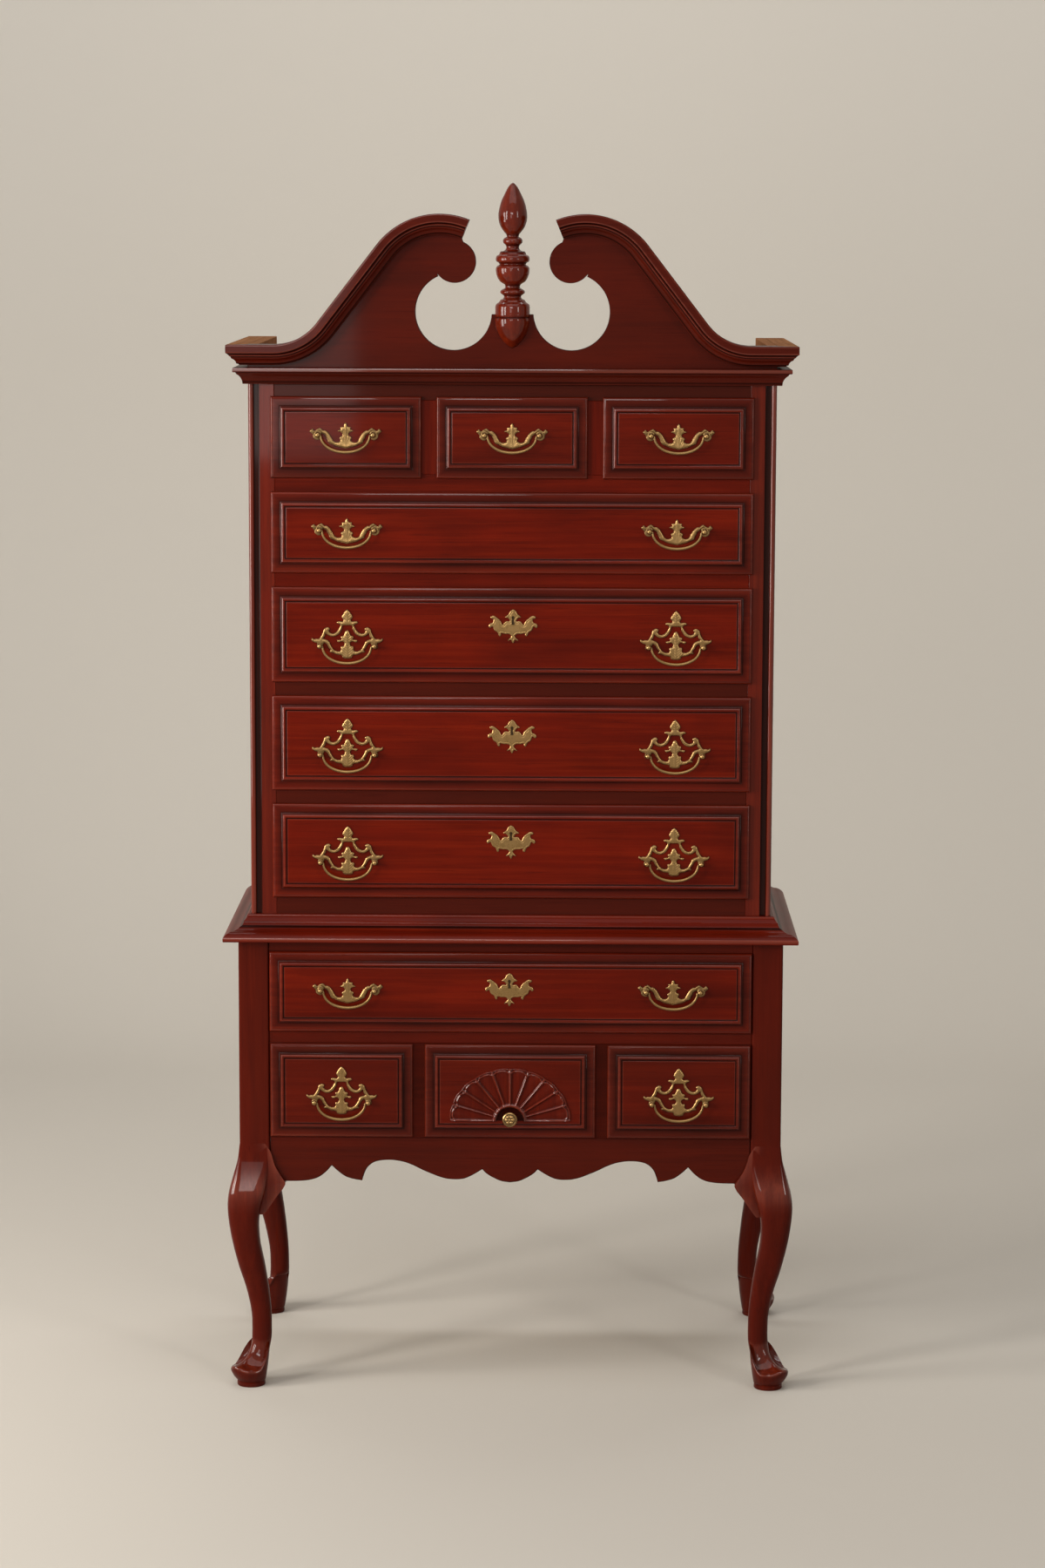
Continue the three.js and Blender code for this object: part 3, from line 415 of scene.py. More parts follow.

# %% [markdown]
# ## Red cherry under lacquer
#
# The wood is cherry, stained to a deep mahogany red, with a dark glaze rubbed into the quirks and
# a clear lacquer over everything. The grain runs along each board, so there is one finish for
# each direction. Figure and pores are noise drawn out along the grain. One mark tells where glaze
# gathers and where painted shade darkens quirks, creases and the backs of the lips; another where
# an edge is worn lighter and the lacquer is polished by hands, and where a painted highlight or
# sheen lightens edges, knees and ridges; and `raw` where no stain was put.

# %% Cherry
def cherry(axis):
    """Stained cherry whose grain runs along an axis."""
    finish = Finish("red_cherry_" + axis, "red_cherry", Coat_Roughness=0.055, Coat_IOR=1.45,
                    Specular_IOR_Level=0.02)
    shift, rub, raw = finish.mark("figure"), finish.mark("rub"), finish.mark("raw")
    bent = shift + finish.grain(axis, 1, 9, shift, 0.7, 2) * 0.6
    figure = finish.grain(axis, 1, 9, bent, 2.2, 5, 0.6)
    streaks = finish.grain(axis, 1, 40, bent, 3.0, 4, 0.65)
    pores = finish.grain(axis, 14, 620, shift, 1.0, 2, 0.5)
    clouds = finish.grain(axis, 1, 1, shift, 5.5, 2)
    # Glaze and painted shade: quirks, creases and lip backs darken as if no light reached them.
    glaze = (finish.mark("quirk") * (clouds * 0.5 + 0.75)).clipped()
    bare = finish.layered((0.19, 0.076, 0.030, 1), (streaks.spread(0.3, 0.7), (0.33, 0.150, 0.066, 1)))
    wood = finish.layered(
        (0.066, 0.0034, 0.0008, 1),
        (figure.spread(0.30, 0.72), (0.136, 0.0066, 0.0012, 1)),
        (streaks.spread(0.45, 0.78) * 0.5, (0.200, 0.0140, 0.0022, 1)),
        (clouds.spread(0.48, 0.75) * 0.4, (0.045, 0.0030, 0.0009, 1)),
        # darker stain, or painted shade on pieces that lie in shade
        (finish.mark("deep"), (0.040, 0.0058, 0.0028, 1)),
        (pores.spread(0.60, 0.72) * 0.4, (0.026, 0.0015, 0.0007, 1)),
        # wear with a painted highlight or sheen: lighter red where the mark of wear and sheen says so
        (rub * streaks.spread(0.2, 0.7) * 0.4, (0.25, 0.030, 0.0060, 1)),
        (glaze * 0.9, (0.009, 0.0016, 0.0009, 1)),
        (raw, bare))
    gloss = 0.30 + figure * 0.10 + raw * 0.45
    height = pores * -0.35 + streaks * 0.25 + clouds * 1.6
    coat = (1 - raw) * (0.15 + rub * (0.45 + streaks * 0.8) - glaze * 0.1)
    return finish.surface(wood, gloss, height, 0.00025, 0.5, Coat_Weight=coat)


CHERRY = {axis: cherry(axis) for axis in "xyz"}
print("cherry along", list(CHERRY))

# %% [markdown]
# ## Secondary wood and brass
#
# Backs, drawer boxes and runners are a cheap pale wood without any finish: dull, yellowish, with
# brown streaks and dust. The pulls are cast brass under an old lacquer: a golden metal that has
# gone dark out on its wings and in its hollows. One mark tells that patina, and also painted shade
# round the plates' edges and on the keyholes' floors.

# %% Pale wood and brass
def pale_wood(axis):
    """Unfinished secondary wood whose grain runs along an axis."""
    finish = Finish("secondary_wood_" + axis, "secondary_wood", Specular_IOR_Level=0.2)
    shift = finish.mark("figure")
    figure = finish.grain(axis, 1, 24, shift, 2.2, 4, 0.6)
    streaks = finish.grain(axis, 1, 60, shift, 3.0, 4, 0.7)
    dust = finish.grain(axis, 1, 1, shift, 9.0, 3)
    wood = finish.layered(
        (0.33, 0.19, 0.090, 1),
        (figure.spread(0.3, 0.7), (0.52, 0.34, 0.18, 1)),
        (streaks.spread(0.45, 0.8) * 0.6, (0.24, 0.125, 0.055, 1)),
        (dust.spread(0.45, 0.8) * 0.35, (0.30, 0.235, 0.165, 1)),
        (finish.mark("quirk"), (0.05, 0.028, 0.015, 1)))
    return finish.surface(wood, 0.55 + dust * 0.3, streaks + dust * 0.5, 0.0003, 0.6)


def old_brass():
    """Lacquered brass, darker where a fine stain and the mark of patina and painted shade say so."""
    finish = Finish("aged_brass", "antique_brass", Metallic=1.0)
    shift = finish.mark("figure")
    stain = finish.grain("x", 1, 1, shift, 90, 4, 0.6)
    grit = finish.grain("x", 1, 1, shift, 900, 2, 0.5)
    dark = (finish.mark("patina") * 0.85 + (stain.spread(0.5, 0.8) * 0.35)).clipped()
    metal = finish.layered((0.250, 0.148, 0.052, 1), (stain, (0.385, 0.240, 0.104, 1)),
                           (dark, (0.058, 0.036, 0.019, 1)))
    return finish.surface(metal, 0.20 + stain * 0.16 + dark * 0.25, stain + grit * 0.4, 0.0002, 0.35)


PALE = {axis: pale_wood(axis) for axis in "xyz"}
BRASS = old_brass()
print("finishes:", [m.name for m in bpy.data.materials if "slot" in m])

# %% [markdown]
# ## Boards
#
# Most of the case is boards. A cube would have razor edges that catch no light, so a board is a
# rectangle with rounded corners carried along its length, and drawn in a little at both ends.

# %% Boards
def board(first, second, axis, ease=0.8):
    """A board between two opposite corners: rings of a rounded rectangle, smaller by the ease at the ends."""
    low, high = np.minimum(first, second).astype(float), np.maximum(first, second)
    along = "xyz".index(axis)
    across = [i for i in range(3) if i != along]
    way = ways(np.radians(np.add.outer([0, 90, 180, 270], np.linspace(0, 90, 4)).ravel()))
    signs = np.sign(np.repeat(way.reshape(4, 4, 2).mean(1), 4, axis=0))
    middle, half = (low + high)[across] / 2, (high - low)[across] / 2
    rings = np.zeros((4, len(way), 3))
    for ring, (place, less) in zip(rings, eased(low[along], high[along], ease)):
        ring[:, across] = middle + signs * (half - ease - less) + way * ease
        ring[:, along] = place
    return skin(rings)


def put_board(name, first, second, axis, finishes=CHERRY, stands_for=(), ease=0.8):
    """A board that is a piece by itself, on the case."""
    return make(name, board(first, second, axis, ease), finishes[axis], "case", stands_for)


INNER_FACE = 419.0
for node in ("upper_left_side", "upper_right_side"):
    low, high = box(node)
    shape = board(low, high, "z")
    inside = np.abs(shape[0][:, 0]) < INNER_FACE
    on_top = shape[0][:, 2] > high[2] - 0.5
    make(node + "_board", shape, CHERRY["z"], "case", [node], raw=inside | on_top)
print("upper sides:", [round(v) for v in box("upper_left_side")[0]])

# %% [markdown]
# ## Backs and the top board
#
# From behind, the case shows planks of secondary wood laid one above the other. They are one
# profile with a notch at each joint, carried across the case. The top board is of the same wood.

# %% Planks
def planked(low, high, planks, notch=1.6, ease=0.7):
    """A panel of planks: V notches in both faces where two planks meet, carried along x."""
    joints = np.linspace(low[2], high[2], planks + 1)
    face = [(notch / 2, joints[0]), (0, joints[0] + notch / 2)]
    for z in joints[1:-1]:
        face += [(0, z - notch), (notch, z), (0, z + notch)]
    face = np.array(face + [(0, joints[-1] - notch / 2), (notch / 2, joints[-1])])
    near = np.stack([low[1] + face[:, 0], face[:, 1]], -1)
    far = np.stack([high[1] - face[:, 0], face[:, 1]], -1)[::-1]
    outline = np.vstack([near, far])
    deep = np.concatenate([face[:, 0], face[::-1, 0]]) / notch
    return carried(outline, eased(low[0], high[0], ease), "yz"), deep


PLANKS = {"upper_back": 5, "lower_back": 2}
for node, planks in PLANKS.items():
    shape, deep = planked(*box(node), planks)
    # darker in the notches between the planks
    make(node + "_planks", shape, PALE["x"], "case", [node], quirk=deep * 0.6)
put_board("upper_top_panel", *box("upper_top_board"), "x", PALE, ["upper_top_board"])
print("planks:", sum(PLANKS.values()))

# %% [markdown]
# ## The face frame
#
# The front of the case is a frame: two stiles with a bead turned on the corner, rails between the
# rows of drawers, and two short dividers in the top row. They meet in thin joint lines, which
# show because each stick is a piece of its own with eased edges. Behind them run pale runners.

# %% Stiles with a corner bead
frame_low, frame_high = box("upper_drawer_frame")
front = frame_low[1]
THICK = 20.0
INNER = frame_high[0] - 42.0
BEAD = 4.6


def stile_outline():
    """Half a square stick (from the middle of the case) with a quirk and a three-quarter bead."""
    edge = frame_high[0]
    groove = edge - 2 * BEAD - 8.4
    return arcs((INNER, THICK), (INNER, 0.8), 0.414, (INNER + 0.8, 0), (groove - 1.2, 0), -0.3,
                (groove, 1.2), (groove + 0.6, BEAD - 0.8), 0.35, (groove + 1.8, BEAD),
                (edge - 2 * BEAD - 0.6, BEAD), 0.2, (edge - 2 * BEAD, BEAD - 0.2), 1.0,
                (edge, BEAD), (edge, THICK), steps=9)


HANDS = ((-1, "left"), (1, "right"))
outline = stile_outline()
from_edge = frame_high[0] - outline[:, 0]
# glaze and painted shade in the quirk between the corner bead and the stile
hollow = (from_edge < 18.5) & (from_edge > 8.4) & (outline[:, 1] > 0.6)
# wear with a painted highlight on the corner bead, and a faint painted sheen over the rest
rub = np.where((from_edge < 7) & (outline[:, 1] < 2.5), 1.0, 0.25)
heights = [(z, 0) for z in (frame_low[2], frame_low[2] + 0.5, frame_high[2] - 0.5, frame_high[2])]
for side, word in HANDS:
    make(f"upper_{word}_stile", carried(outline * [side, 1] + [0, front], heights, "xy"), CHERRY["z"], "case",
         ["upper_drawer_frame"] if side < 0 else [], quirk=hollow, rub=rub)
print("stiles:", outline.shape[0], "points round")

# %% Rails, dividers and runners of the upper case
UPPER_ROWS = ("row5", "row4", "row3", "row2", "row1_left")
rows = {name: box(name + "_drawer") for name in (*UPPER_ROWS, "row1_middle", "row1_right", "row6", "row7")}
LIP = 6.0
levels = [rows[name][0][2] + LIP for name in UPPER_ROWS]
tops = [frame_low[2]] + [rows[name][1][2] - LIP for name in UPPER_ROWS]
rail_end = INNER - 0.15
for i, (under, level) in enumerate(zip(tops, levels + [frame_high[2]])):
    put_board(f"upper_rail_{i + 1}", (-rail_end, front + 0.2, under), (rail_end, front + THICK, level), "x", ease=0.6)
top_floor, top_rail = levels[-1], tops[-1]
gap = rows["row1_left"][1][0], rows["row1_middle"][0][0]
divider_x, divider_half = -sum(gap) / 2, (gap[1] - gap[0]) / 2 + LIP
for side, word in HANDS:
    x = side * divider_x
    put_board(f"upper_{word}_divider", (x - divider_half, front + 0.2, top_floor + 0.1),
              (x + divider_half, front + THICK, top_rail - 0.1), "z", ease=0.6)

WALL, RAIL_DEEP = 410.5, 10
RUNNER_WIDE, RUNNER_TALL, GUIDE_WIDE, GUIDE_TALL = 46, 16, 25, 14
MIDDLE_RUNNER, MIDDLE_GUIDE = 34, 17
back = frame_high[1]


def upper_stick(x0, x1, z0, z1, far=back - RAIL_DEEP - 0.2):
    """A stick that runs from the face frame of the upper case back to its rear rails."""
    return board((x0, front + THICK + 0.1, z0), (x1, far, z1), "y")


sticks = []
for level in levels:
    for side in (-1, 1):
        sticks += [upper_stick(side * (WALL - RUNNER_WIDE), side * WALL, level - RUNNER_TALL, level),
                   upper_stick(side * (WALL - GUIDE_WIDE), side * WALL, level + 0.1, level + GUIDE_TALL)]
for side in (-1, 1):
    x = side * divider_x
    sticks += [upper_stick(x - MIDDLE_RUNNER, x + MIDDLE_RUNNER, top_floor - RUNNER_TALL, top_floor),
               upper_stick(x - MIDDLE_GUIDE, x + MIDDLE_GUIDE, top_floor + 0.1, top_floor + GUIDE_TALL),
               upper_stick(side * (WALL - RUNNER_WIDE), side * WALL, frame_high[2] - RUNNER_TALL,
                           frame_high[2] - 0.2, back - 0.2)]
make("upper_runners", joined(*sticks), PALE["y"], "case")
x = WALL - 0.5
sticks = [board((-x, back - RAIL_DEEP, level - 14), (x, back, level - 2), "x") for level in levels]
make("upper_back_rails", joined(*sticks), PALE["x"], "case")
print("rails at", [round(v) for v in levels])

# %% [markdown]
# ## Mouldings
#
# A moulding is one profile carried round the case. Real ones are cut in lengths and mitred at
# the corners, and each length has its own grain. So each length here is a piece of its own,
# whose end rings are stretched along the mitre: a point that stands out by some amount moves by
# that amount along both walls.

# %% Straight mouldings
def run(profile, top, starts, outs):
    """Rings of a profile (down, out): place = start + out * way out, and down from the top."""
    rings = np.zeros((len(starts), len(profile), 3))
    for ring, start, out in zip(rings, starts, outs):
        ring[:, 0] = start[0] + profile[:, 1] * out[0]
        ring[:, 1] = start[1] + profile[:, 1] * out[1]
        ring[:, 2] = top - profile[:, 0]
    return skin(rings)


WALL_Y = front - 2.3


def between_depths(profile, ranges):
    """1 for each profile point whose depth lies in one of the ranges, and 0 for the others."""
    return [any(first <= down <= last for first, last in ranges) for down, _ in profile]


def dress_moulding(name, profile, top, wall, back, dark, worn_and_sheen):
    """Front length and two returns of a moulding round three sides of the case."""
    x, y = wall
    lengths = {
        "front": (((-x, y), (x, y)), ((-1, -1), (1, -1)), "x"),
        "left": (((-x, back), (-x, y)), ((-1, 0), (-1, -1)), "y"),
        "right": (((x, y), (x, back)), ((1, -1), (1, 0)), "y"),
    }
    # glaze and painted shade in the quirks of each length, wear and a painted sheen on its rounds
    for word, (starts, outs, axis) in lengths.items():
        make(f"{name}_{word}", run(profile, top, starts, outs), CHERRY[axis], "case",
             [name] if word == "front" else (), smooth=33,
             quirk=between_depths(profile, dark), rub=between_depths(profile, worn_and_sheen))


low, high = box("bed_moulding")
reach = 23.0
bed_profile = arcs((0, 0), (0, reach - 1.6), -0.35, (1.2, reach - 0.2), (5.6, reach - 0.1), -0.4,
                   (7.4, reach - 1.8), (7.6, 18.4), 0.12, (10.4, 16.6), 0.22, (22.6, 7.9), (26.4, 7.4),
                   (26.4, 0), steps=8)
dress_moulding("bed_moulding", bed_profile, high[2], (high[0] - reach, WALL_Y), high[1],
               dark=((7.5, 8.4), (21.0, 24.0)), worn_and_sheen=((1.0, 5.8),))

low, high = box("waist_moulding")
reach = 44.0
waist_profile = arcs((0, 0), (0, 3.4), -0.3, (1.6, 5.6), (4.0, 6.2), 0.1, (10.4, 11.0), 0.16, (17.6, 14.0),
                     (19.0, 16.2), (19.8, 17.6), 0.2, (25.6, 31.8), -0.14, (32.4, 42.4), -0.24,
                     (36.4, reach - 0.2), (39.4, reach - 0.2), -0.4, (41.0, reach - 1.8), (41.0, 0), steps=8)
dress_moulding("waist_moulding", waist_profile, high[2], (high[0] - reach, front - 0.3), high[1],
               dark=((17.4, 19.9),), worn_and_sheen=((1.0, 3.5), (33.0, 39.0)))
LEDGE, IN_FRONT, BEHIND, END_X = (757.0, 765.0), -168.0, 186.0, 387.5
x, near, far = high[0] - reach - 0.2, front - 0.1, high[1] - 0.1
sticks = [board((-x, near, LEDGE[0]), (x, IN_FRONT, LEDGE[1]), "x"),
          board((-x, BEHIND, LEDGE[0]), (x, far, LEDGE[1]), "x")]
make("waist_frame_rails", joined(*sticks), PALE["x"], "case")
sticks = [board((side * END_X, IN_FRONT + 0.1, LEDGE[0]), (side * x, BEHIND - 0.1, LEDGE[1]), "y") for side in (-1, 1)]
make("waist_frame_ends", joined(*sticks), PALE["y"], "case")
print("mouldings dressed; waist reaches", round(high[0]))

# %% [markdown]
# ## The scrolls of the pediment
#
# The top moulding rises from the corners in a swan's neck: a hollow arc, a straight rise and a
# round crest. Its profile stays upright and square to that curve. From the corner back along the
# side it is a plain return, whose top was never stained and shows as light dusty wood.

# %% Scroll mouldings
low, high = box("left_scroll_moulding")
CROWN = 32.7
CROWN_TOP = box("upper_left_side")[1][2]
crest, valley = 127.0, 90.0
slope, finish_turn = math.radians(52.3), math.radians(22.2)
scroll_crest = CROWN_TOP + 209.0
crest_x, crest_z = -117.0, scroll_crest - crest
rise_top = np.array([crest_x - crest * math.sin(slope), crest_z + crest * math.cos(slope)])
rise_foot_z = CROWN_TOP + valley * (1 - math.cos(slope))
rise_foot_x = rise_top[0] - (rise_top[1] - rise_foot_z) / math.tan(slope)
valley_x = rise_foot_x - valley * math.sin(slope)


def neck(down, steps=24):
    """The swan's neck at a depth under its edge: arc of valley + down, straight, arc of crest - down."""
    turn = np.linspace(0, slope, steps)
    hollow = np.stack([valley_x + (valley + down) * np.sin(turn),
                       CROWN_TOP + valley - (valley + down) * np.cos(turn)], -1)
    turn = np.linspace(slope, -finish_turn, 2 * steps)
    round_ = np.stack([crest_x - (crest - down) * np.sin(turn), crest_z + (crest - down) * np.cos(turn)], -1)
    share = np.linspace(0, 1, 12)[1:-1, None]
    return np.vstack([hollow, hollow[-1] * (1 - share) + round_[0] * share, round_])


crown_profile = arcs(
    (0, 0), (0, 31.6), -0.4, (1.4, 33.0), (3.2, 33.0), (11.0, 33.0), (12.4, 33.0), -0.4, (14.0, 31.2), (15.6, 29.4),
    0.2, (18.4, 27.4), (18.8, 25.8), (19.6, 25.2), 0.10, (22.4, 24.0), 0.30, (30.2, 16.6), (30.9, 15.6),
    (30.9, 13.4), -0.3, (32.7, 12.2), (32.7, 0), steps=8)
down, out = crown_profile.T
# glaze and painted shade in the quirks, wear and a painted sheen on the rounds
looks = {"smooth": 33, "quirk": between_depths(crown_profile, ((13.6, 16.0), (18.6, 20.0), (29.6, 31.6))),
         "rub": between_depths(crown_profile, ((1.0, 2.6), (12.0, 13.4), (17.5, 18.5)))}
wall_x = box("upper_right_side")[1][0] + 0.3
along = np.stack([neck(depth) for depth in down], axis=1)
rings = np.zeros((len(along) + 1, len(down), 3))
for side, word in HANDS:
    rings[0] = np.stack([side * (wall_x + out), WALL_Y - out, CROWN_TOP - down], -1)
    rings[1:, :, 0], rings[1:, :, 1], rings[1:, :, 2] = -side * along[..., 0], WALL_Y - out, along[..., 1]
    make(f"{word}_scroll", skin(rings), CHERRY["x"], "case", [f"{word}_scroll_moulding"], **looks)
    length = run(crown_profile, CROWN_TOP, ((side * wall_x, high[1]), (side * wall_x, WALL_Y)), ((side, 0), (side, -1)))
    make(f"{word}_scroll_return", length, CHERRY["y"], "case", raw=(down < 0.2) & (out < 32.0), **looks)
print("scrolls:", len(rings), "rings of", len(down))

# %% [markdown]
# ## Cut boards
#
# The pediment board, the apron and the sides of the low case are boards with sawn outlines. The
# outline is drawn as arcs or through points, then carried through the thickness, with its edges
# eased by rings that are drawn in a little near both faces.

# %% A board with a sawn outline
def tip_room(outline, ease):
    """Share of an ease that each point can take: (0.3 + 0.35 * way to the next sharp tip) / ease.

    Nearer than that, the drawn-in line would cross itself at the tip."""
    way = np.roll(outline, -1, axis=0) - outline
    before, length = np.roll(way, 1, axis=0), np.linalg.norm(way, axis=1)
    bend = turning(outline) * np.arctan2(before[:, 0] * way[:, 1] - before[:, 1] * way[:, 0], (before * way).sum(1))
    tips = np.flatnonzero((bend > 0.7) & (np.minimum(length, np.roll(length, 1)) < 3 * ease))
    walked = np.cumsum(length) - length
    apart = np.abs(walked[:, None] - walked[tips])
    nearest = np.minimum(apart, length.sum() - apart).min(1, initial=1e9)
    return np.clip((0.3 + 0.35 * nearest) / ease, 0, 1)[:, None]


def slab(outline, near, far, ease=1.0, plane="xz"):
    """An outline through a thickness. Rings near both faces are inset by ease * (1 - sin turn)."""
    steps = [(ease * (1 - math.cos(t)), ease * (1 - math.sin(t))) for t in np.radians([0, 30, 60, 90])]
    stations = [(near + into, less) for into, less in steps] + [(far - into, less) for into, less in steps[::-1]]
    return carried(outline, stations, plane, tip_room(outline, ease))


def edge_glaze_and_shade(outline):
    """Glaze and painted shade on the sawn edge and its eased corners, but not on the two faces."""
    return np.repeat([0, 0.8, 1, 1, 1, 1, 0.8, 0], len(outline))


def even(outline, spacing):
    """The same closed line with its points at even distances."""
    ring = np.vstack([outline, outline[:1]])
    walked = np.concatenate([[0], np.cumsum(np.linalg.norm(np.diff(ring, axis=0), axis=1))])
    places = np.linspace(0, walked[-1], max(int(walked[-1] / spacing), 8), endpoint=False)
    return np.stack([np.interp(places, walked, ring[:, i]) for i in range(2)], -1)


def arc(centre, radius, first, last, steps):
    """Points on a circle from one angle to another, in degrees."""
    return np.asarray(centre) + radius * ways(np.radians(np.linspace(first, last, steps)))


board_low, board_high = box("pediment_board")
edge = neck(0.0)
end = neck(CROWN)[-1]
BOARD_END, LOBE, OPENING, BELOW = -427.0, 34.0, 61.5, 4.0
lobe = (-93.0, scroll_crest - 76.0)
lobe_start = math.degrees(math.atan2(end[1] - lobe[1], end[0] - lobe[0]))
opening = (-95.0, scroll_crest - 156.0)
opening_end = 360 - math.degrees(math.asin(BELOW / OPENING))
half = np.vstack([
    [(BOARD_END, board_low[2]), (BOARD_END, CROWN_TOP)], edge, end,
    arc(lobe, LOBE, lobe_start, -146.0, 40)[1:], arc(opening, OPENING, 114.0, opening_end, 64)])
half = half[np.concatenate([[True], np.linalg.norm(np.diff(half, axis=0), axis=1) > 0.5])]
outline = np.vstack([half, (half * [-1, 1])[::-1]])
make("pediment_panel", slab(outline, board_low[1], board_high[1], 1.0), CHERRY["x"], "case", ["pediment_board"],
     quirk=edge_glaze_and_shade(outline) * 0.7)
plinth_top = opening[1] - BELOW
print("pediment board:", len(outline), "points")

# %% [markdown]
# ## The finial
#
# The finial was turned on a lathe: an egg on a stack of beads and coves, over an urn, over a drop
# that hangs in front of the board. Its profile is turned round an upright axis; where it meets
# the board it was planed flat, so points behind that plane are brought forward to it.

# %% Turning
def turned(profile, sides, centre=(0, 0, 0)):
    """Radius r at height h goes to (r cos a, r sin a, h) for each angle a round an upright axis."""
    angle = once_round(sides)
    r, h = profile[:, :1], profile[:, 1:]
    return np.stack([r * np.cos(angle), r * np.sin(angle), h + 0 * angle], -1) + np.asarray(centre)


FINIAL_SIDES = 48
egg_to_step = [
    [(0.3, 1987.6), (3.2, 1985.6), (7.9, 1980), (13.6, 1969), (18.3, 1959), (21.5, 1948), (23.2, 1937),
     (22.6, 1927), (19.7, 1918), (15.1, 1911), (10.8, 1906)],
    [(9.7, 1903.6), (9.9, 1901.8), (13.2, 1899.8), (15.6, 1896.4), (15.2, 1892.2), (12.0, 1889)],
    [(10.6, 1887.6), (10.3, 1884.6), (11.6, 1881.6), (14.4, 1879.4), (19.4, 1878.4)],
    [(20.8, 1876.4), (22.0, 1873.6), (25.6, 1871.4), (27.2, 1867.4), (26.6, 1863), (23.0, 1860.6)],
    [(21.4, 1858.6), (21.6, 1857.2), (24.6, 1855.4), (26.8, 1852.6), (27.1, 1848), (26.4, 1842.6),
     (24.0, 1836), (20.2, 1830.4), (15.4, 1827.2), (12.6, 1825.4)],
    [(12.0, 1823.6), (12.2, 1820.6), (16.4, 1818.2), (19.6, 1815.4), (19.6, 1812.2), (16.4, 1809.6)],
    [(14.2, 1808.0), (13.9, 1805.8), (15.6, 1803.2), (19.4, 1801.4)]]
drum = [(20.6, 1799.4), (22.4, 1797.2), (25.4, 1795.2), (27.2, 1793.2), (27.9, 1790), (28.0, 1780),
        (27.8, plinth_top + 0.5), (27.8, plinth_top + 0.4), (27.9, 1775.2), (27.2, 1774.4), (26.6, 1773.2),
        (27.2, 1772.0), (27.7, 1771.0)]
drop = [(27.6, 1768), (26.9, 1761), (25.4, 1754.6), (22.6, 1747.2), (18.4, 1740), (12.8, 1733), (6.4, 1727.2),
        (2.0, 1724.8), (0.4, 1724.3)]
necks = np.array([1904.6, 1888.2, 1877.6, 1859.6, 1824.4, 1808.6, 1773.2])
profile = np.vstack([flowing(line, 4) for line in egg_to_step] + [drum, flowing(drop, 4)])
# glaze and painted shade in the necks between the beads
quirk = np.repeat(ridge(profile[:, 1:] - necks, 1.5).max(1), FINIAL_SIDES)
profile[:, 1] += box("finial")[1][2] - 1988.0
shape = skin(turned(profile, FINIAL_SIDES, (0, front + 1.0, 0)))
behind = shape[0][:, 2] < plinth_top + 0.45
shape[0][behind, 1] = np.minimum(shape[0][behind, 1], WALL_Y)
# lighter and glossier away from the necks: wear with a painted sheen
make("turned_finial", shape, CHERRY["z"], "case", ["finial"], smooth=50, quirk=quirk * 0.8, rub=(1 - quirk) * 0.55)
print("finial:", len(profile), "turns of the profile")

# %% [markdown]
# ## Cabriole legs
#
# A cabriole leg grows out of its square corner post, swells into a knee, draws in to a thin
# ankle and ends in a foot with a raised rim. A leg is one surface of height and angle: each ring
# is a superellipse, whose power falls from 16 on the post (nearly square) to about 2 at the
# ankle. The foot's rim is not level, so its last rings are mixed between the ankle and the rim.

# %% Legs
post = 50.0
corner_x = box("front_right_leg")[1][0] - 20.5
corner_y = {-1: front - 21.0, 1: box("upper_left_side")[1][1]}
KNEE_TOP = rows["row7"][0][2] - 12.0
LOWER_TOP = box("front_right_leg")[1][2]
SIDES, LEG, FOOT_IN, REAR_KICK = 64, 415.0, 15.0, 30.0
sections = np.array([
    (1, 0, 1, 16), (0.93, 0.08, 1, 10), (0.87, 0.22, 0.97, 6), (0.81, 0.36, 0.88, 4.5), (0.755, 0.41, 0.74, 3.6),
    (0.69, 0.38, 0.63, 3.1), (0.6, 0.27, 0.65, 2.8), (0.49, 0.07, 0.8, 2.6), (0.39, -0.16, 0.91, 2.4),
    (0.29, -0.31, 0.98, 2.2), (0.22, -0.33, 0.99, 2.1)])


def at_height(plan, height):
    """A ring of points (x, y) at one height."""
    return np.column_stack([plan, np.full(len(plan), height)])


def leg_ring(outs, ins, power, turn):
    """Superellipse from -ins to outs of the corner: |cos|^(2/power) and |sin|^(2/power)."""
    half, middle = (ins + outs) / 2, (outs - ins) / 2
    bent = lambda wave: np.sign(wave) * np.abs(wave) ** (2 / power)
    return np.stack([middle + half * bent(np.cos(turn)), middle + half * bent(np.sin(turn))], -1)


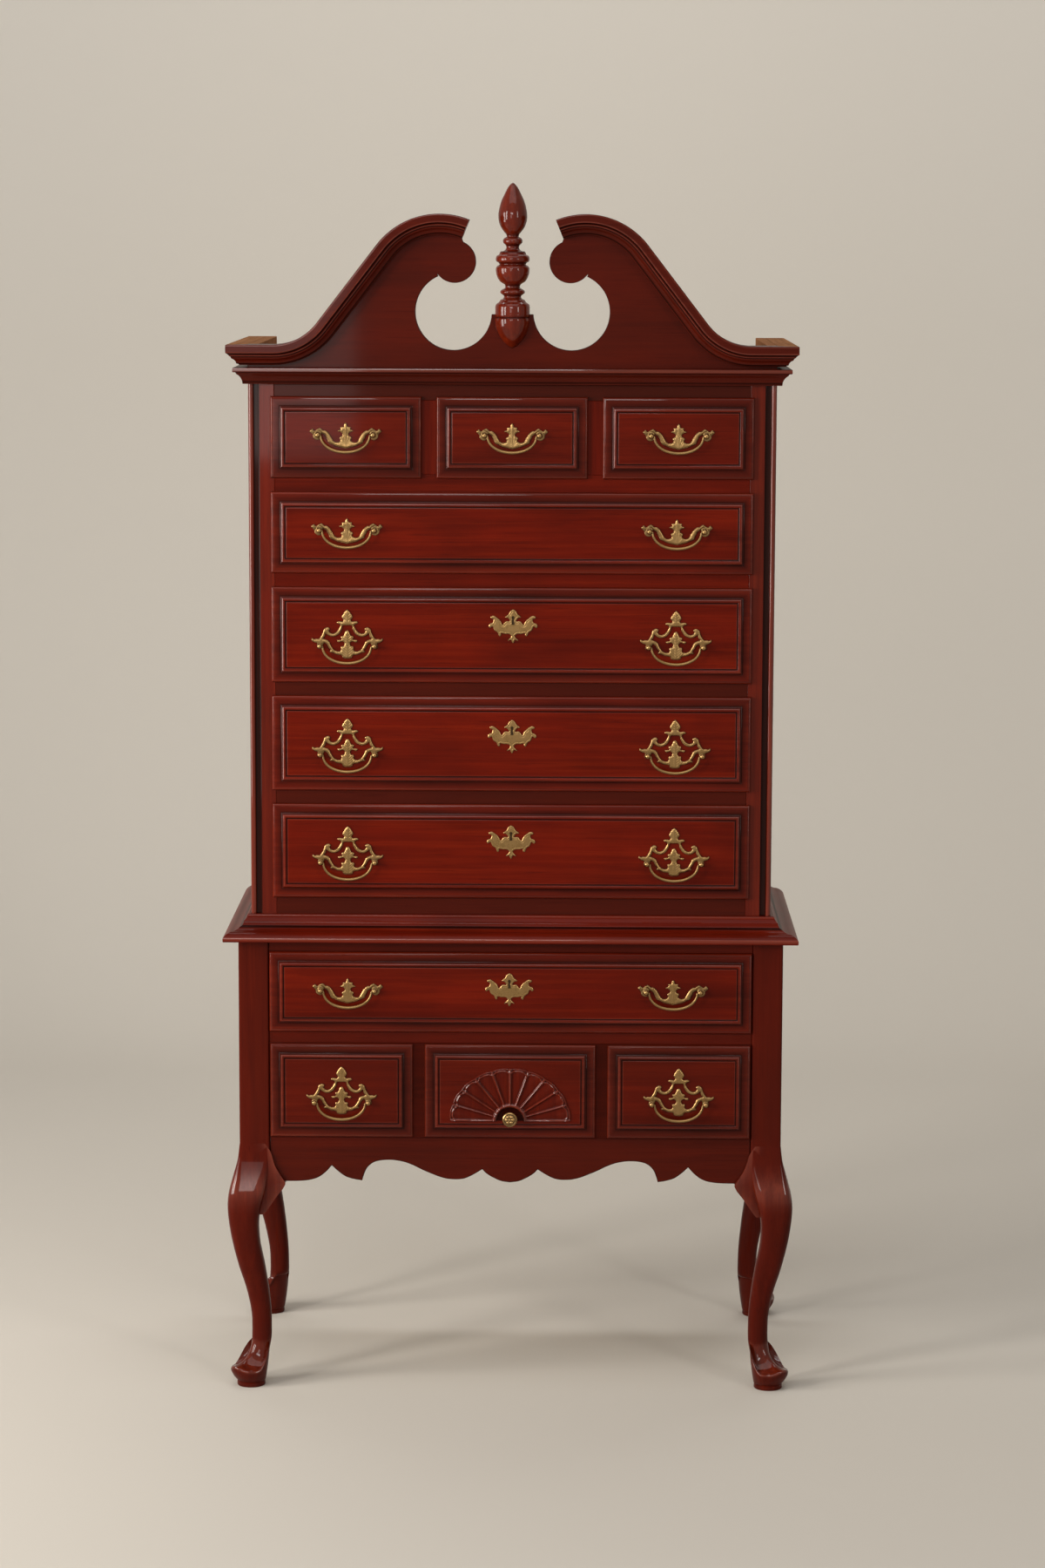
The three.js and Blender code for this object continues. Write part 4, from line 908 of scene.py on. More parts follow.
def leg_shape(kick):
    """Rings of one leg round its corner, with x and y growing outward from the corner."""
    turn = once_round(SIDES) + math.pi / SIDES
    rings = [at_height(leg_ring(0, post, 16, turn), z) for z in (LOWER_TOP, LOWER_TOP - 0.6, KNEE_TOP + 6)]
    for height, outs, ins, power in flowing(sections * [LEG, 1, 1, 1], 7) / [LEG, 1, 1, 1]:
        plan = leg_ring(outs * post, ins * post, power, turn)
        plan[:, 1] += kick * (1 - smooth_step(height, 0, 1))
        rings.append(at_height(plan, height * KNEE_TOP))
    ankle = rings[-1]
    toe = np.abs((turn - math.pi / 4 + math.pi) % (2 * math.pi) - math.pi)
    rise = smooth_step(toe, math.radians(70), math.radians(145))
    rim_height = 30 + 7 * ridge(toe, 0.45) + 42 * rise
    centre = np.array([-FOOT_IN, kick - FOOT_IN])
    way = ways(turn)
    reach = 31.6 + 3.4 * ridge(toe, 0.5) + 0.6 * np.cos(2 * toe)
    rim = np.column_stack([centre + way * reach[:, None], rim_height])
    for share in np.linspace(0, 1, 14)[1:]:
        out, down = share ** 2.3, 1 - (1 - share) ** 1.7
        mix = np.array([out, out, down])
        rings.append(ankle * (1 - mix) + rim * mix)
    lip = 1 - rise
    for proud, height in ((0.7, 1.0), (0.9, 2.4), (0.4, 4.5)):
        lower = rim.copy()
        lower[:, :2] += way * (proud * lip)[:, None]
        lower[:, 2] -= height
        rings.append(lower)
    pad = centre - 0.8
    sole = at_height(pad + way * 24.2, 9.5)
    start = rings[-1]
    for share in np.linspace(0, 1, 7)[1:]:
        mixed = start * (1 - share) + sole * share
        mixed[:, :2] = start[:, :2] * (1 - share ** 1.5) + sole[:, :2] * share ** 1.5
        rings.append(mixed)
    rings += [at_height(pad + way * wide, height)
              for wide, height in ((22.6, 8.6), (22.4, 7.4), (23.4, 6.4), (23.6, 1.4), (22.6, 0.0))]
    return np.array(rings), lip


corners = (("front_left", -1, -1), ("front_right", 1, -1), ("rear_left", -1, 1), ("rear_right", 1, 1))
for word, side_x, side_y in corners:
    rings, lip = leg_shape(REAR_KICK if side_y > 0 else 0.0)
    place = rings.copy()
    place[..., 0] = side_x * (corner_x + rings[..., 0])
    place[..., 1] = corner_y[side_y] + side_y * rings[..., 1]
    # painted sheen with wear on the knee and the foot, where the coat is also thicker
    worn_and_sheen = 0.95 * ridge(rings[..., 2] / KNEE_TOP - 0.825, 0.052)
    worn_and_sheen[rings[..., 2] < 75] = 0.55
    worn_and_sheen[-15:-12] = np.maximum(lip, 0.1)
    worn_and_sheen[-12:] = 0.1
    make(word + "_cabriole", skin(place), CHERRY["z"], "case", [word + "_leg"], smooth=42, rub=worn_and_sheen)
print("legs:", len(rings), "rings")

# %% [markdown]
# ## Knee brackets
#
# Small blocks are glued beside each knee, and carved so that the knee's curve runs on into the
# apron. One is a stack of level sections: each goes from inside the leg out to a thin edge, and
# how far it reaches follows a curve with one sharp wing.

# %% Brackets
bracket = flowing([(0, -0.3, 0.05), (0.12, 0.06, 0.25), (0.3, 0.32, 0.6), (0.45, 0.72, 0.9), (0.54, 1, 1)], 6)
bracket = np.vstack([bracket, flowing([(0.56, 1, 1), (0.62, 0.86, 1), (0.72, 0.5, 0.95), (0.82, 0.18, 0.8),
                                       (0.93, -0.16, 0.5), (1, -0.42, 0.2)], 5)])
BRACKET_TALL, REACH, DEEP, INSIDE, BOWED = 120.0, 26.0, 19.0, 25.0, 7.0
UNDER_APRON, UNDER_SIDE = 350.2, 361.5


def bracket_rings():
    """Sections (along, out, z): the face bows from inside the leg to the edge at the wing."""
    rings = []
    for down, across, proud in bracket:
        share = np.linspace(0, 1, 9)
        along = -INSIDE + (across * REACH + INSIDE) * share
        face = np.stack([along, BOWED * proud * (1 - 0.30 * share ** 3)], -1)
        rear = np.stack([along[::-1], np.full(9, -DEEP)], -1)
        rings.append(at_height(np.vstack([face, rear]), KNEE_TOP - down * BRACKET_TALL))
    return np.array(rings)


inner_x = corner_x - post
knee = bracket_rings()
# painted highlight along the brackets' thin wing edge
knee_rub = np.concatenate([np.linspace(0, 1, 9) ** 2, np.zeros(9)])
for word, side_x, side_y in corners:
    if side_y < 0:
        place = np.stack([side_x * (inner_x - knee[..., 0]), corner_y[-1] - knee[..., 1], knee[..., 2]], -1)
        above = place[..., 2] > UNDER_APRON
        place[..., 1] = np.where(above, np.minimum(place[..., 1], corner_y[-1] + 2.6), place[..., 1])
        make(word + "_front_bracket", skin(place), CHERRY["z"], "case", smooth=30, rub=knee_rub)
    wall = corner_y[side_y] - side_y * post
    place = np.stack([side_x * (corner_x + knee[..., 1]), wall - side_y * knee[..., 0], knee[..., 2]], -1)
    above = (place[..., 2] > UNDER_SIDE) & (np.abs(place[..., 0]) < corner_x - 1.6)
    place[..., 0] = np.where(above, side_x * (corner_x - 1.6), place[..., 0])
    make(word + "_side_bracket", skin(place), CHERRY["z"], "case", smooth=30, rub=knee_rub)
print("brackets: 6")

# %% [markdown]
# ## Apron and low case
#
# The apron's lower edge is sawn in scrolls: a drop in the middle, cusps, long hollows and points.
# Each stretch between two cusps is a flowing curve of its own, so the cusps stay sharp.

# %% Apron, sides, rails and runners of the low case
low, high = box("apron")
stretches = [
    [(0, 350), (14, 352), (26, 357), (39, 365), (46, 372)],
    [(46, 372), (57, 365), (68, 359), (79, 355.4), (99, 355), (114, 358), (130, 364), (146, 371), (161, 378.4),
     (177, 384), (200, 387), (224, 383.4), (236, 374), (242, 361), (244.6, 352)],
    [(244.6, 352), (255, 353.4), (271, 358), (283, 366), (295, 377)],
    [(295, 377), (305, 366), (318, 356.6), (337, 351.4), (high[0], 350)]]
half = np.vstack([flowing(points, 6)[:-1] for points in stretches] + [[(high[0], 350)]])
half[:, 1] += low[2] - 350
half = np.vstack([half, [(high[0], high[2])]])
outline = np.vstack([half, (half[::-1] * [-1, 1])[:-1]])
make("front_apron", slab(outline, low[1], high[1], 1.8), CHERRY["x"], "case", ["apron"], quirk=edge_glaze_and_shade(outline))

ARCH = 26.0
for node in ("lower_left_side", "lower_right_side"):
    low, high = box(node)
    share = np.linspace(0, 1, 40)
    arch = np.stack([low[1] + (high[1] - low[1]) * share, low[2] + 4 * ARCH * share * (1 - share)], -1)
    outline = np.vstack([arch, [(high[1], high[2]), (low[1], high[2])]])
    make(node + "_panel", slab(outline, low[0], high[0], 1.0, "yz"), CHERRY["y"], "case", [node])

low, high = box("lower_drawer_frame")
rail_front, back = low[1], high[1]
floor6, top6 = rows["row6"][0][2] + LIP, rows["row6"][1][2] - LIP
floor7, top7 = rows["row7"][0][2] + LIP, rows["row7"][1][2] - LIP
rail_x = inner_x - 0.3
put_board("lower_rail_1", (-rail_x, rail_front, top6), (rail_x, rail_front + THICK, high[2]), "x", ease=0.6,
          stands_for=["lower_drawer_frame"])
put_board("lower_rail_2", (-rail_x, rail_front, top7), (rail_x, rail_front + THICK, floor6 - 1), "x", ease=0.6)
RUNNER_X, CLEAT_X, CLEAT_Y, CLEAT_UNDER = (367.5, 396), (397.2, 428), (-177, 164), 15
near, far = rail_front + THICK + 0.4, back - RAIL_DEEP - 0.2
sticks = []
for side in (-1, 1):
    (x0, x1), (x2, x3) = side * np.array([RUNNER_X, CLEAT_X])
    for level in (floor6, floor7):
        sticks += [board((x0, near, level - RUNNER_TALL), (x1, far, level), "y"),
                   board((x2, CLEAT_Y[0], level - CLEAT_UNDER), (x3, CLEAT_Y[1], level + GUIDE_TALL), "y")]
    sticks.append(board((x0, near, top6 + 4), (x1, far, high[2] - 1.5), "y"))
make("lower_runners", joined(*sticks), PALE["y"], "case")
sticks = [board((-rail_x, back - RAIL_DEEP, level - 14), (rail_x, back, level - 1), "x") for level in (floor6, floor7)]
make("lower_back_rails", joined(*sticks), PALE["x"], "case")
print("low case: apron with", len(half), "points on a half")

# %% [markdown]
# ## Drawer fronts
#
# Each front has a lip with a thumbnail edge, a flat band, a bead with a quirk, and a raised field.
# All that is one profile of (inset, rise), walked from the edge to the middle: each step is a
# rectangle, smaller by the inset and further out by the rise, so the corners are true mitres.

# %% Moulded fronts
def rectangles(low, high, steps, back):
    """Rings of four corners: a step is an inset, or one across and one up, and the rise from the back."""
    signs = np.array([(-1, -1), (1, -1), (1, 1), (-1, 1)])
    middle, half = (low[[0, 2]] + high[[0, 2]]) / 2, (high[[0, 2]] - low[[0, 2]]) / 2
    rings = np.zeros((len(steps), 4, 3))
    for ring, (less, rise) in zip(rings, steps):
        plan = middle + signs * (half - less)
        ring[:, 0], ring[:, 2] = plan[:, 0], plan[:, 1]
        ring[:, 1] = back - rise
    return skin(rings)


def four(values):
    """One number for each ring, repeated for its four corners."""
    return np.repeat(values, 4)


thumb = arcs((0.0, 3.2), -0.36, (4.2, 7.3), (4.6, 7.5), (4.8, 8.0), steps=8)
band = np.array([(14.4, 8.0), (14.9, 7.7)])
cove = arcs((15.3, 8.1), 0.30, (18.2, 11.0), (18.5, 11.4), steps=6)
bead = arcs((18.7, 11.5), -0.42, (22.9, 11.5), (23.3, 10.7), 0.2, (24.5, 10.5), (24.9, 11.4), -0.3, (25.7, 12.0),
            steps=8)
raised = np.vstack([thumb, band, cove, bead, [(26.6, 12.0)]])
# glaze and painted shade: at the lip's root, on the band, in the cove and in the bead's quirk
raised_quirk = np.interp(raised[:, 0], [0, 1.0, 4.5, 4.9, 13, 14.9, 17.8, 18.5, 22.7, 23.3, 24.6, 25.2, 25.7],
                         [0.5, 0.1, 0.35, 0.15, 0.22, 0.95, 0.6, 0.0, 0.1, 1.0, 1.0, 0.35, 0.0])
# wear and painted highlights on the thumbnail, on the top of the cove and on the bead
raised_rub = np.interp(raised[:, 0], [0, 0.5, 1.5, 3.5, 5, 14, 18, 18.6, 19.6, 21.5, 25.2, 25.7, 26.6],
                       [0.3, 0.7, 0.5, 0.6, 0.15, 0.1, 0.3, 1.0, 0.6, 0.1, 0.3, 0.6, 0.0])
FRONT_DEPTH = 12.0
BLOCK = (7.0, 6.3)
home = {node: body for body, nodes in frame["record"]["behaviour"]["bodies"].items() for node in nodes}
field_y = {name: low[1] for name, (low, high) in rows.items()}
field_y["row7"] = rail_front - 0.3 - FRONT_DEPTH

for name, (low, high) in rows.items():
    steps = [(BLOCK, -FRONT_DEPTH), (BLOCK, 0.0), (0.3, 0.0), (0.0, 0.4)]
    if name == "row7":
        steps, quirk, rub = steps + [(0, 3.1), (0.4, 3.5)], [0.6] * 2, [0] * 2
    else:
        steps, quirk, rub = steps + raised.tolist(), raised_quirk, raised_rub
    # the lip's back edge, where it meets the frame, is painted in full shade
    make(name + "_front", rectangles(low, high, steps, field_y[name] + FRONT_DEPTH), CHERRY["x"],
         home[name + "_drawer"], [name + "_drawer"], smooth=28, quirk=four([0, 0, 1, 1, *quirk]),
         rub=four([0, 0, 0, 0, *rub]))
print("fronts:", len(rows))

# %% [markdown]
# ## Drawer boxes
#
# Behind each front is a box of pale wood: two sides with rounded top edges, a back between them
# and a thin bottom. The sides' grain runs back, the others' runs across, so a box is two pieces.

# %% Boxes
BOX_THICK, BOX_LOWER = 12, 10
for name, (low, high) in rows.items():
    body = home[name + "_drawer"]
    near = field_y[name] + 2 * FRONT_DEPTH + 0.1
    x0, x1, z0, z1, back = low[0] + BLOCK[0], high[0] - BLOCK[0], low[2] + BLOCK[1], high[2] - BOX_LOWER, high[1]
    sides = joined(board((x0, near, z0), (x0 + BOX_THICK, back, z1), "y", 2.2),
                   board((x1 - BOX_THICK, near, z0), (x1, back, z1), "y", 2.2))
    make(name + "_sides", sides, PALE["y"], body)
    x0, x1, inner = x0 + BOX_THICK + 0.1, x1 - BOX_THICK - 0.1, back - BOX_THICK
    rest = joined(board((x0, inner, z0), (x1, back, z1 - 3), "x", 1.0),
                  board((x0, near, z0 + 1), (x1, inner - 0.1, z0 + 6), "x", 0.6))
    make(name + "_back_and_bottom", rest, PALE["x"], body)
print("boxes:", len(rows))

# %% [markdown]
# ## The carved drawer
#
# The lowest drawer has three raised panels, and the middle one carries a carved fan: ten hollow
# petals between thin ridges, a scalloped rim, and an arched hub round the knob. The carving is a
# height over a polar grid, so every ridge and hollow is a term of one sum.

# %% Panels and fan
low, high = rows["row7"]
ground = field_y["row7"] + FRONT_DEPTH
side_width, strip = 235.5, 20.0
spans = {"left": (low[0] + 1, low[0] + 1 + side_width), "right": (high[0] - 1 - side_width, high[0] - 1),
         "middle": (low[0] + side_width + strip, high[0] - side_width - strip)}
steps = [(0.0, 3.55)] + raised[1:].tolist()
for word, (x0, x1) in spans.items():
    panel = np.array([(x0, 0, low[2] + 1), (x1, 0, high[2] - 1)])
    # painted shade on each panel's sunk outer edge
    make(f"row7_{word}_panel", rectangles(*panel, steps, ground), CHERRY["x"], home["row7_drawer"], smooth=28,
         quirk=four([0.9, *raised_quirk[1:]]), rub=four([0.0, *raised_rub[1:]]))

FAN_WIDE, FAN_TALL, PETALS, HUB = 101.0, 89.0, 10, 27.0
fan_z = low[2] + 31.6
fan_y = ground - FRONT_DEPTH


def solid_sheet(near, far):
    """A grid of points with its copy behind it, closed round the four sides."""
    lines, cols = near.shape[:2]
    number = np.arange(lines * cols).reshape(lines, cols)
    quads = np.stack([number[:-1, :-1], number[:-1, 1:], number[1:, 1:], number[1:, :-1]], -1).reshape(-1, 4)
    rim = np.concatenate([number[0], number[1:, -1], number[-1, -2::-1], number[-2:0:-1, 0]])
    after = np.roll(rim, -1)
    count = lines * cols
    wall = np.stack([after, rim, rim + count, after + count], -1)
    return np.vstack([near.reshape(-1, 3), far.reshape(-1, 3)]), [quads, (quads + count)[:, ::-1], wall]


share, turn = np.meshgrid(np.linspace(0.01, 1, 84), np.linspace(0, math.pi, PETALS * 22 + 1), indexing="ij")
scallop = 1 - 0.016 * (1 - np.abs(np.sin(PETALS * turn)) ** 0.8)
x, z = FAN_WIDE * share * scallop * np.cos(turn), FAN_TALL * share * scallop * np.sin(turn)
r = np.hypot(x, z)
petal = (turn / math.pi * PETALS + 0.5) % 1 - 0.5
from_line = np.abs(petal) * math.pi / PETALS * r
to_rim = (1 - share) * FAN_WIDE
wave = np.sin(np.abs(petal) * math.pi) ** 2
height = 0.8 + 0.9 * wave * np.clip((r - HUB) / 60, 0, 1) ** 0.7
height = np.maximum(height, 0.7 + 2.9 * ridge(from_line, 1.6) * np.clip(to_rim / 5, 0, 1))
height = np.maximum(height, 0.4 + 2.2 * ridge(to_rim - 1.9, 1.2))
height = np.maximum(height, 0.5 + 2.9 * ridge(to_rim - 5.6 - 3.2 * np.cos(petal * math.pi) ** 6, 1.5))
height = np.maximum(height, 0.7 + 2.4 * ridge(z - 1.2, 1.5))
inner = np.maximum(0.5 + 4.0 * ridge(r - HUB + 1.5, 2.6), height * (r > HUB - 2))
height = np.where(r < HUB + 4, inner, height)
height *= np.clip(to_rim / 0.8, 0.05, 1)
near = np.stack([x, fan_y - height, fan_z + z], -1)
far = near.copy()
far[..., 1] = fan_y + 0.3
# glaze with painted shade beside the ridges and inside the rim, and painted shade in the hub's recess
beside = ridge(from_line - 3.2, 1.2) + ridge(to_rim - 3.8, 0.7)
shadow = np.clip(0.45 * beside * (height < 2.0) + 0.9 * (r < HUB - 4), 0, 1)
# painted highlights, with wear, on the ridges and the rim
make("row7_fan", solid_sheet(near, far), CHERRY["z"], home["row7_drawer"], smooth=60, quirk=shadow,
     rub=np.clip((height - 1.5) / 1.3, 0, 1))
print("fan: highest", round(float(height.max()), 2), "mm")

# %% [markdown]
# ## Cast brass plates
#
# A pull's plate is cast brass, sawn and filed to an ornate outline, a little pillowed and chased
# with hollows. Its outline is a flowing curve through measured points. The inside is filled with
# triangles that keep to the outline, and each point's height comes from its distance to the edge.

# %% Plates from an outline
def within(points, outline):
    """Even-odd rule: a point is inside when a ray to the right crosses the outline an odd number of times."""
    a, b = outline, np.roll(outline, -1, axis=0)
    x, z = points[:, :1], points[:, 1:]
    level = (a[:, 1] > z) != (b[:, 1] > z)
    fall = np.where(np.abs(b[:, 1] - a[:, 1]) < 1e-12, 1e-12, b[:, 1] - a[:, 1])
    crossing = (b[:, 0] - a[:, 0]) * (z - a[:, 1]) / fall + a[:, 0]
    return (level & (x < crossing)).sum(1) % 2 == 1


def edge_distance(points, outline):
    """Least distance from each point to the outline's edges."""
    way = np.roll(outline, -1, axis=0) - outline
    apart = points[:, None] - outline
    share = np.clip((apart * way).sum(-1) / (way ** 2).sum(-1), 0, 1)
    return np.linalg.norm(apart - share[..., None] * way, axis=-1).min(1)


def inside_all(points, loops):
    """Inside the first loop and outside all the others."""
    keep = within(points, loops[0])
    for loop in loops[1:]:
        keep &= ~within(points, loop)
    return keep


def fill(points, loops):
    """Triangles between points that keep to the loops, each turned to face up."""
    edges, count = [], 0
    for loop in loops:
        number = np.arange(count, count + len(loop))
        edges += np.stack([number, np.roll(number, -1)], -1).tolist()
        count += len(loop)
    made = delaunay_2d_cdt([Vector(p) for p in points.tolist()], edges, [], 0, 1e-6)
    triangles = np.array(made[2])
    triangles = triangles[inside_all(points[triangles].mean(1), loops)]
    a, b, c = (points[triangles[:, i]] for i in range(3))
    up = (b - a)[:, 0] * (c - a)[:, 1] - (b - a)[:, 1] * (c - a)[:, 0] > 0
    return np.where(up[:, None], triangles, triangles[:, ::-1])


def plate(loops, spacing, height):
    """Front points at height(points, distance to the edge), a wall and a flat back.

    Points are (across, up, out) from the middle of the plate's back. A loop that runs round
    the plate with it on its left has walls one way; a hole's loop is turned to do so too."""
    loops = [loop if (i == 0) == (turning(loop) > 0) else loop[::-1] for i, loop in enumerate(loops)]
    rim = np.vstack(loops)
    low, high = rim.min(0), rim.max(0)
    x, z = np.meshgrid(np.arange(low[0], high[0], spacing), np.arange(low[1], high[1], spacing * 0.866))
    x[1::2] += spacing / 2
    inner = np.stack([x.ravel(), z.ravel()], -1)
    inner = inner[inside_all(inner, loops)]
    distance = np.min([edge_distance(inner, loop) for loop in loops], axis=0)
    inner, distance = inner[distance > spacing * 0.45], distance[distance > spacing * 0.45]
    flat = np.vstack([rim, inner])
    distance = np.concatenate([np.zeros(len(rim)), distance])
    back = fill(rim, loops)[:, ::-1] + len(flat)
    points = np.vstack([np.column_stack([flat, height(flat, distance)]), np.column_stack([rim, np.zeros(len(rim))])])
    walls, start = [], 0
    for loop in loops:
        number = np.arange(start, start + len(loop))
        after = np.roll(number, -1)
        walls.append(np.stack([after, number, number + len(flat), after + len(flat)], -1))
        start += len(loop)
    return points, [fill(flat, loops), np.vstack(walls), back], np.concatenate([distance, np.zeros(len(rim))])


crescent_half = [
    (0, 19.1), (2, 17), (2.7, 13.2), (8.1, 12.2), (7.6, 9.2), (12.6, 5.8), (9, 4.8), (5.2, 2.3), (4.7, -0.7),
    (9.6, -4.7), (8.1, -9.6), (15, -12.6), (20, -9.6), (24, -2.7), (28, 3.3), (32, 6.4), (36, 6.7), (39, 9.2),
    (42.4, 10.7), (45.8, 8.7), (49.8, 6.2), (53.8, 9.2), (57.7, 5.3), (55.8, 3.3), (52.8, 0.3), (51.8, -4.7),
    (47.8, -8.1), (43.3, -8.1), (40.4, -5.2), (38.9, 1.8), (33, -0.7), (31, -4.7), (28.6, -9.6), (27.5, -12.6),
    (21, -15.6), (15, -18.5), (7.1, -20.5), (0, -22)]
pierced_half = [
    (0, 59), (5.4, 53), (8.6, 46.6), (6, 42), (7.5, 39.6), (15.1, 39.6), (17.3, 37.4), (11.3, 33.6), (13, 28.2),
    (17.3, 22.8), (22.7, 19.6), (27, 20.6), (29.7, 23.9), (28, 27), (29.7, 29.3), (33.5, 29.8), (37.8, 27.1),
    (39.5, 21.7), (42.7, 15.2), (46.5, 10.9), (50.8, 10.9), (54, 10.4), (57.3, 12), (57.8, 8.8), (54, 5.5),
    (48.6, 3.4), (49.6, -2.6), (45.6, -5.6), (41.0, -3.4), (37.8, 4.4), (33.5, 2.3), (30.3, -3.1), (27, -8.0),
    (29.2, -10.2), (22.7, -11.8), (17.3, -14.5), (11.9, -15), (8.6, -16.1), (7.6, -19.4), (0, -21)]
pierced_hole = [
    (0, 33.6), (7.6, 33), (9.2, 27.1), (13, 20.6), (18.4, 16.3), (24.9, 15.2), (31.3, 17.4), (35.6, 20.7),
    (37.0, 15.2), (40.1, 10.9), (35.7, 9.8), (30.3, 6.6), (27, 0.1), (22.7, -6.4), (17.3, -9.6), (11.9, -9.6),
    (9.7, -7.5), (9.7, -2), (5.4, -1), (3.8, 4.4), (7.6, 7.7), (14, 6), (15.7, 8.2), (8.6, 9.8), (9.7, 14.2),
    (5.4, 16.3), (3.8, 19.6), (1.6, 23.9), (0, 24.4)]


def drawn(half, spacing):
    """A flowing closed outline through a half and its mirror image, with even points."""
    return even(flowing(mirrored(half), 5, closed=True), spacing)


POSTS = 44.45


def crescent_height(points, distance):
    """Pillowed bar, a leaf chased in the middle, and a hollow eye behind each post."""
    x, z = np.abs(points[:, 0]), points[:, 1]
    out = 0.9 + 1.0 * smooth_step(distance, 0, 1.3) + 0.25 * smooth_step(distance, 0.8, 3.2)
    leaf = smooth_step(12 - np.hypot(x, (z + 4) * 0.7), 0, 5)
    out -= 0.40 * leaf * np.abs(np.sin(np.arctan2(x, z + 22) * 13)) * smooth_step(distance, 0.5, 2)
    out += 0.15 * ridge(x, 1.3) * leaf
    out -= 0.8 * ridge(np.hypot(x - POSTS, z) - 6.2, 1.2)
    return out


def pierced_height(points, distance):
    """Rounded bars and leaf shapes: a full pillow, with veins in the upper and the middle leaf."""
    x, z = np.abs(points[:, 0]), points[:, 1]
    out = 0.9 + 1.1 * smooth_step(distance, 0, 1.3) + 0.3 * smooth_step(distance, 0.8, 3.2)
    leaf = ((z > 40) | (x < 16) & (z < 24)) * smooth_step(distance, 0.4, 1.6)
    out -= 0.35 * leaf * np.abs(np.sin((z - x * 0.9) * 0.75)) * smooth_step(x, 0.6, 2.2)
    return out + 0.15 * ridge(x, 1.1) * leaf


SPACING = 0.95
styles = {
    "crescent": ([drawn(crescent_half, SPACING)], crescent_height),
    "pierced": ([drawn(pierced_half, SPACING), inset(drawn(pierced_hole, SPACING), 0.5)], pierced_height),
}
castings = {}
for style, (loops, height_of) in styles.items():
    points, faces, distance = plate(loops, SPACING, height_of)
    # patina out on the wings, and painted shade within 0.8 mm of the plate's edge
    wings = smooth_step(np.abs(points[:, 0]), 20, 46) * (0.5 if style == "crescent" else 0.25)
    castings[style] = points, faces, np.maximum(np.clip(1 - distance / 0.8, 0, 1) * 0.7, wings)
    print(style, "plate:", len(points), "points")

# %% [markdown]
# ## Posts, bails and knob
#
# Two turned posts with ball heads carry the bail, a rod that is thicker in the middle and whose
# ends are turned outward into the balls. The bail is its own piece, because it swings on them.

# %% Posts and bails
PIVOT, PIN, GAP, BALL = 11.8, 1.2, 0.3, 4.4
BOW_HALF, BOW_DROP, TALL_PLATE = 39.45, 27.7, 30
ball = [(BALL * math.sin(math.radians(t)), PIVOT - GAP - BALL * math.cos(math.radians(t))) for t in range(40, 178, 11)]
stem_line = flowing([(4.3, 4.2), (3.0, 5.0), (2.5, 6.4), (2.6, 7.6)], 4)
post_line = np.vstack([[(0.4, 0.4), (4.4, 0.4), (4.9, 2.2), (4.9, 3.4)], stem_line, ball])
post_points, post_faces = skin(turned(post_line, 20))


def hung(points, across, field, up):
    """Points (across, up, out) of a casting, placed so that it stands out from a drawer's field."""
    return np.stack([across + points[:, 0], field - points[:, 2], up + points[:, 1]], -1)


def pull_plate(style, across, field, up):
    """A casting with its two posts, hung at a place on a drawer's field."""
    points, faces, patina = castings[style]
    posts = [(hung(post_points, across + side * POSTS, field, up), post_faces) for side in (-1, 1)]
    dark = np.clip(1 - (post_points[:, 2] - 3) / 6, 0, 1) * 0.7
    return joined((hung(points, across, field, up), faces), *posts), np.concatenate([patina, dark, dark])


def rod(line, radii, sides):
    """Circles square to a line in the xz plane, each with its own radius."""
    way = np.gradient(line, axis=0)
    way /= np.linalg.norm(way, axis=1, keepdims=True)
    normal = np.stack([-way[:, 1], way[:, 0]], -1)
    turn = once_round(sides)
    rings = np.zeros((len(line), sides, 3))
    rings[..., [0, 2]] = line[:, None] + (normal * radii[:, None])[:, None] * np.cos(turn)[:, None]
    rings[..., 1] = radii[:, None] * np.sin(turn)
    return skin(rings)


angle = np.linspace(0, math.pi, 57)
bow = np.stack([BOW_HALF * np.cos(angle), -BOW_DROP * np.sin(angle) ** 0.92], -1)
pin = np.array([(44.2, 0.0), (42.4, 0.0), (41.0, -0.15), (40.0, -0.6)])
bail_line = np.vstack([pin, bow[1:-1], pin[::-1] * [-1, 1]])
bail_radii = PIN + 1.25 * (1 - np.abs(np.linspace(-1, 1, len(bail_line))) ** 3.5)
bail_shape = rod(bail_line, bail_radii, 16)

pulls = sorted(node for node in frame["nodes"] if node.endswith("_bail"))
for node in pulls:
    low, high = box(node)
    stem = node[:-len("_bail")]
    row = home[stem + "_pull_plate"]
    across, up = (low[0] + high[0]) / 2, high[2] - PIN
    style = "pierced" if box(stem + "_pull_plate")[1][2] - up > TALL_PLATE else "crescent"
    shape, patina = pull_plate(style, across, field_y[row] - GAP, up)
    make(stem + "_plate", shape, BRASS, row, [stem + "_pull_plate"], patina=patina, smooth=50)
    points = bail_shape[0] + np.array([across, field_y[row] - PIVOT, up])
    make(stem + "_handle", (points, bail_shape[1]), BRASS, home[node], [node], smooth=60,
         patina=0.22 + np.clip(np.abs(bail_shape[0][:, 0]) / 40, 0, 1) ** 6 * 0.4)
print("pulls:", len(pulls))

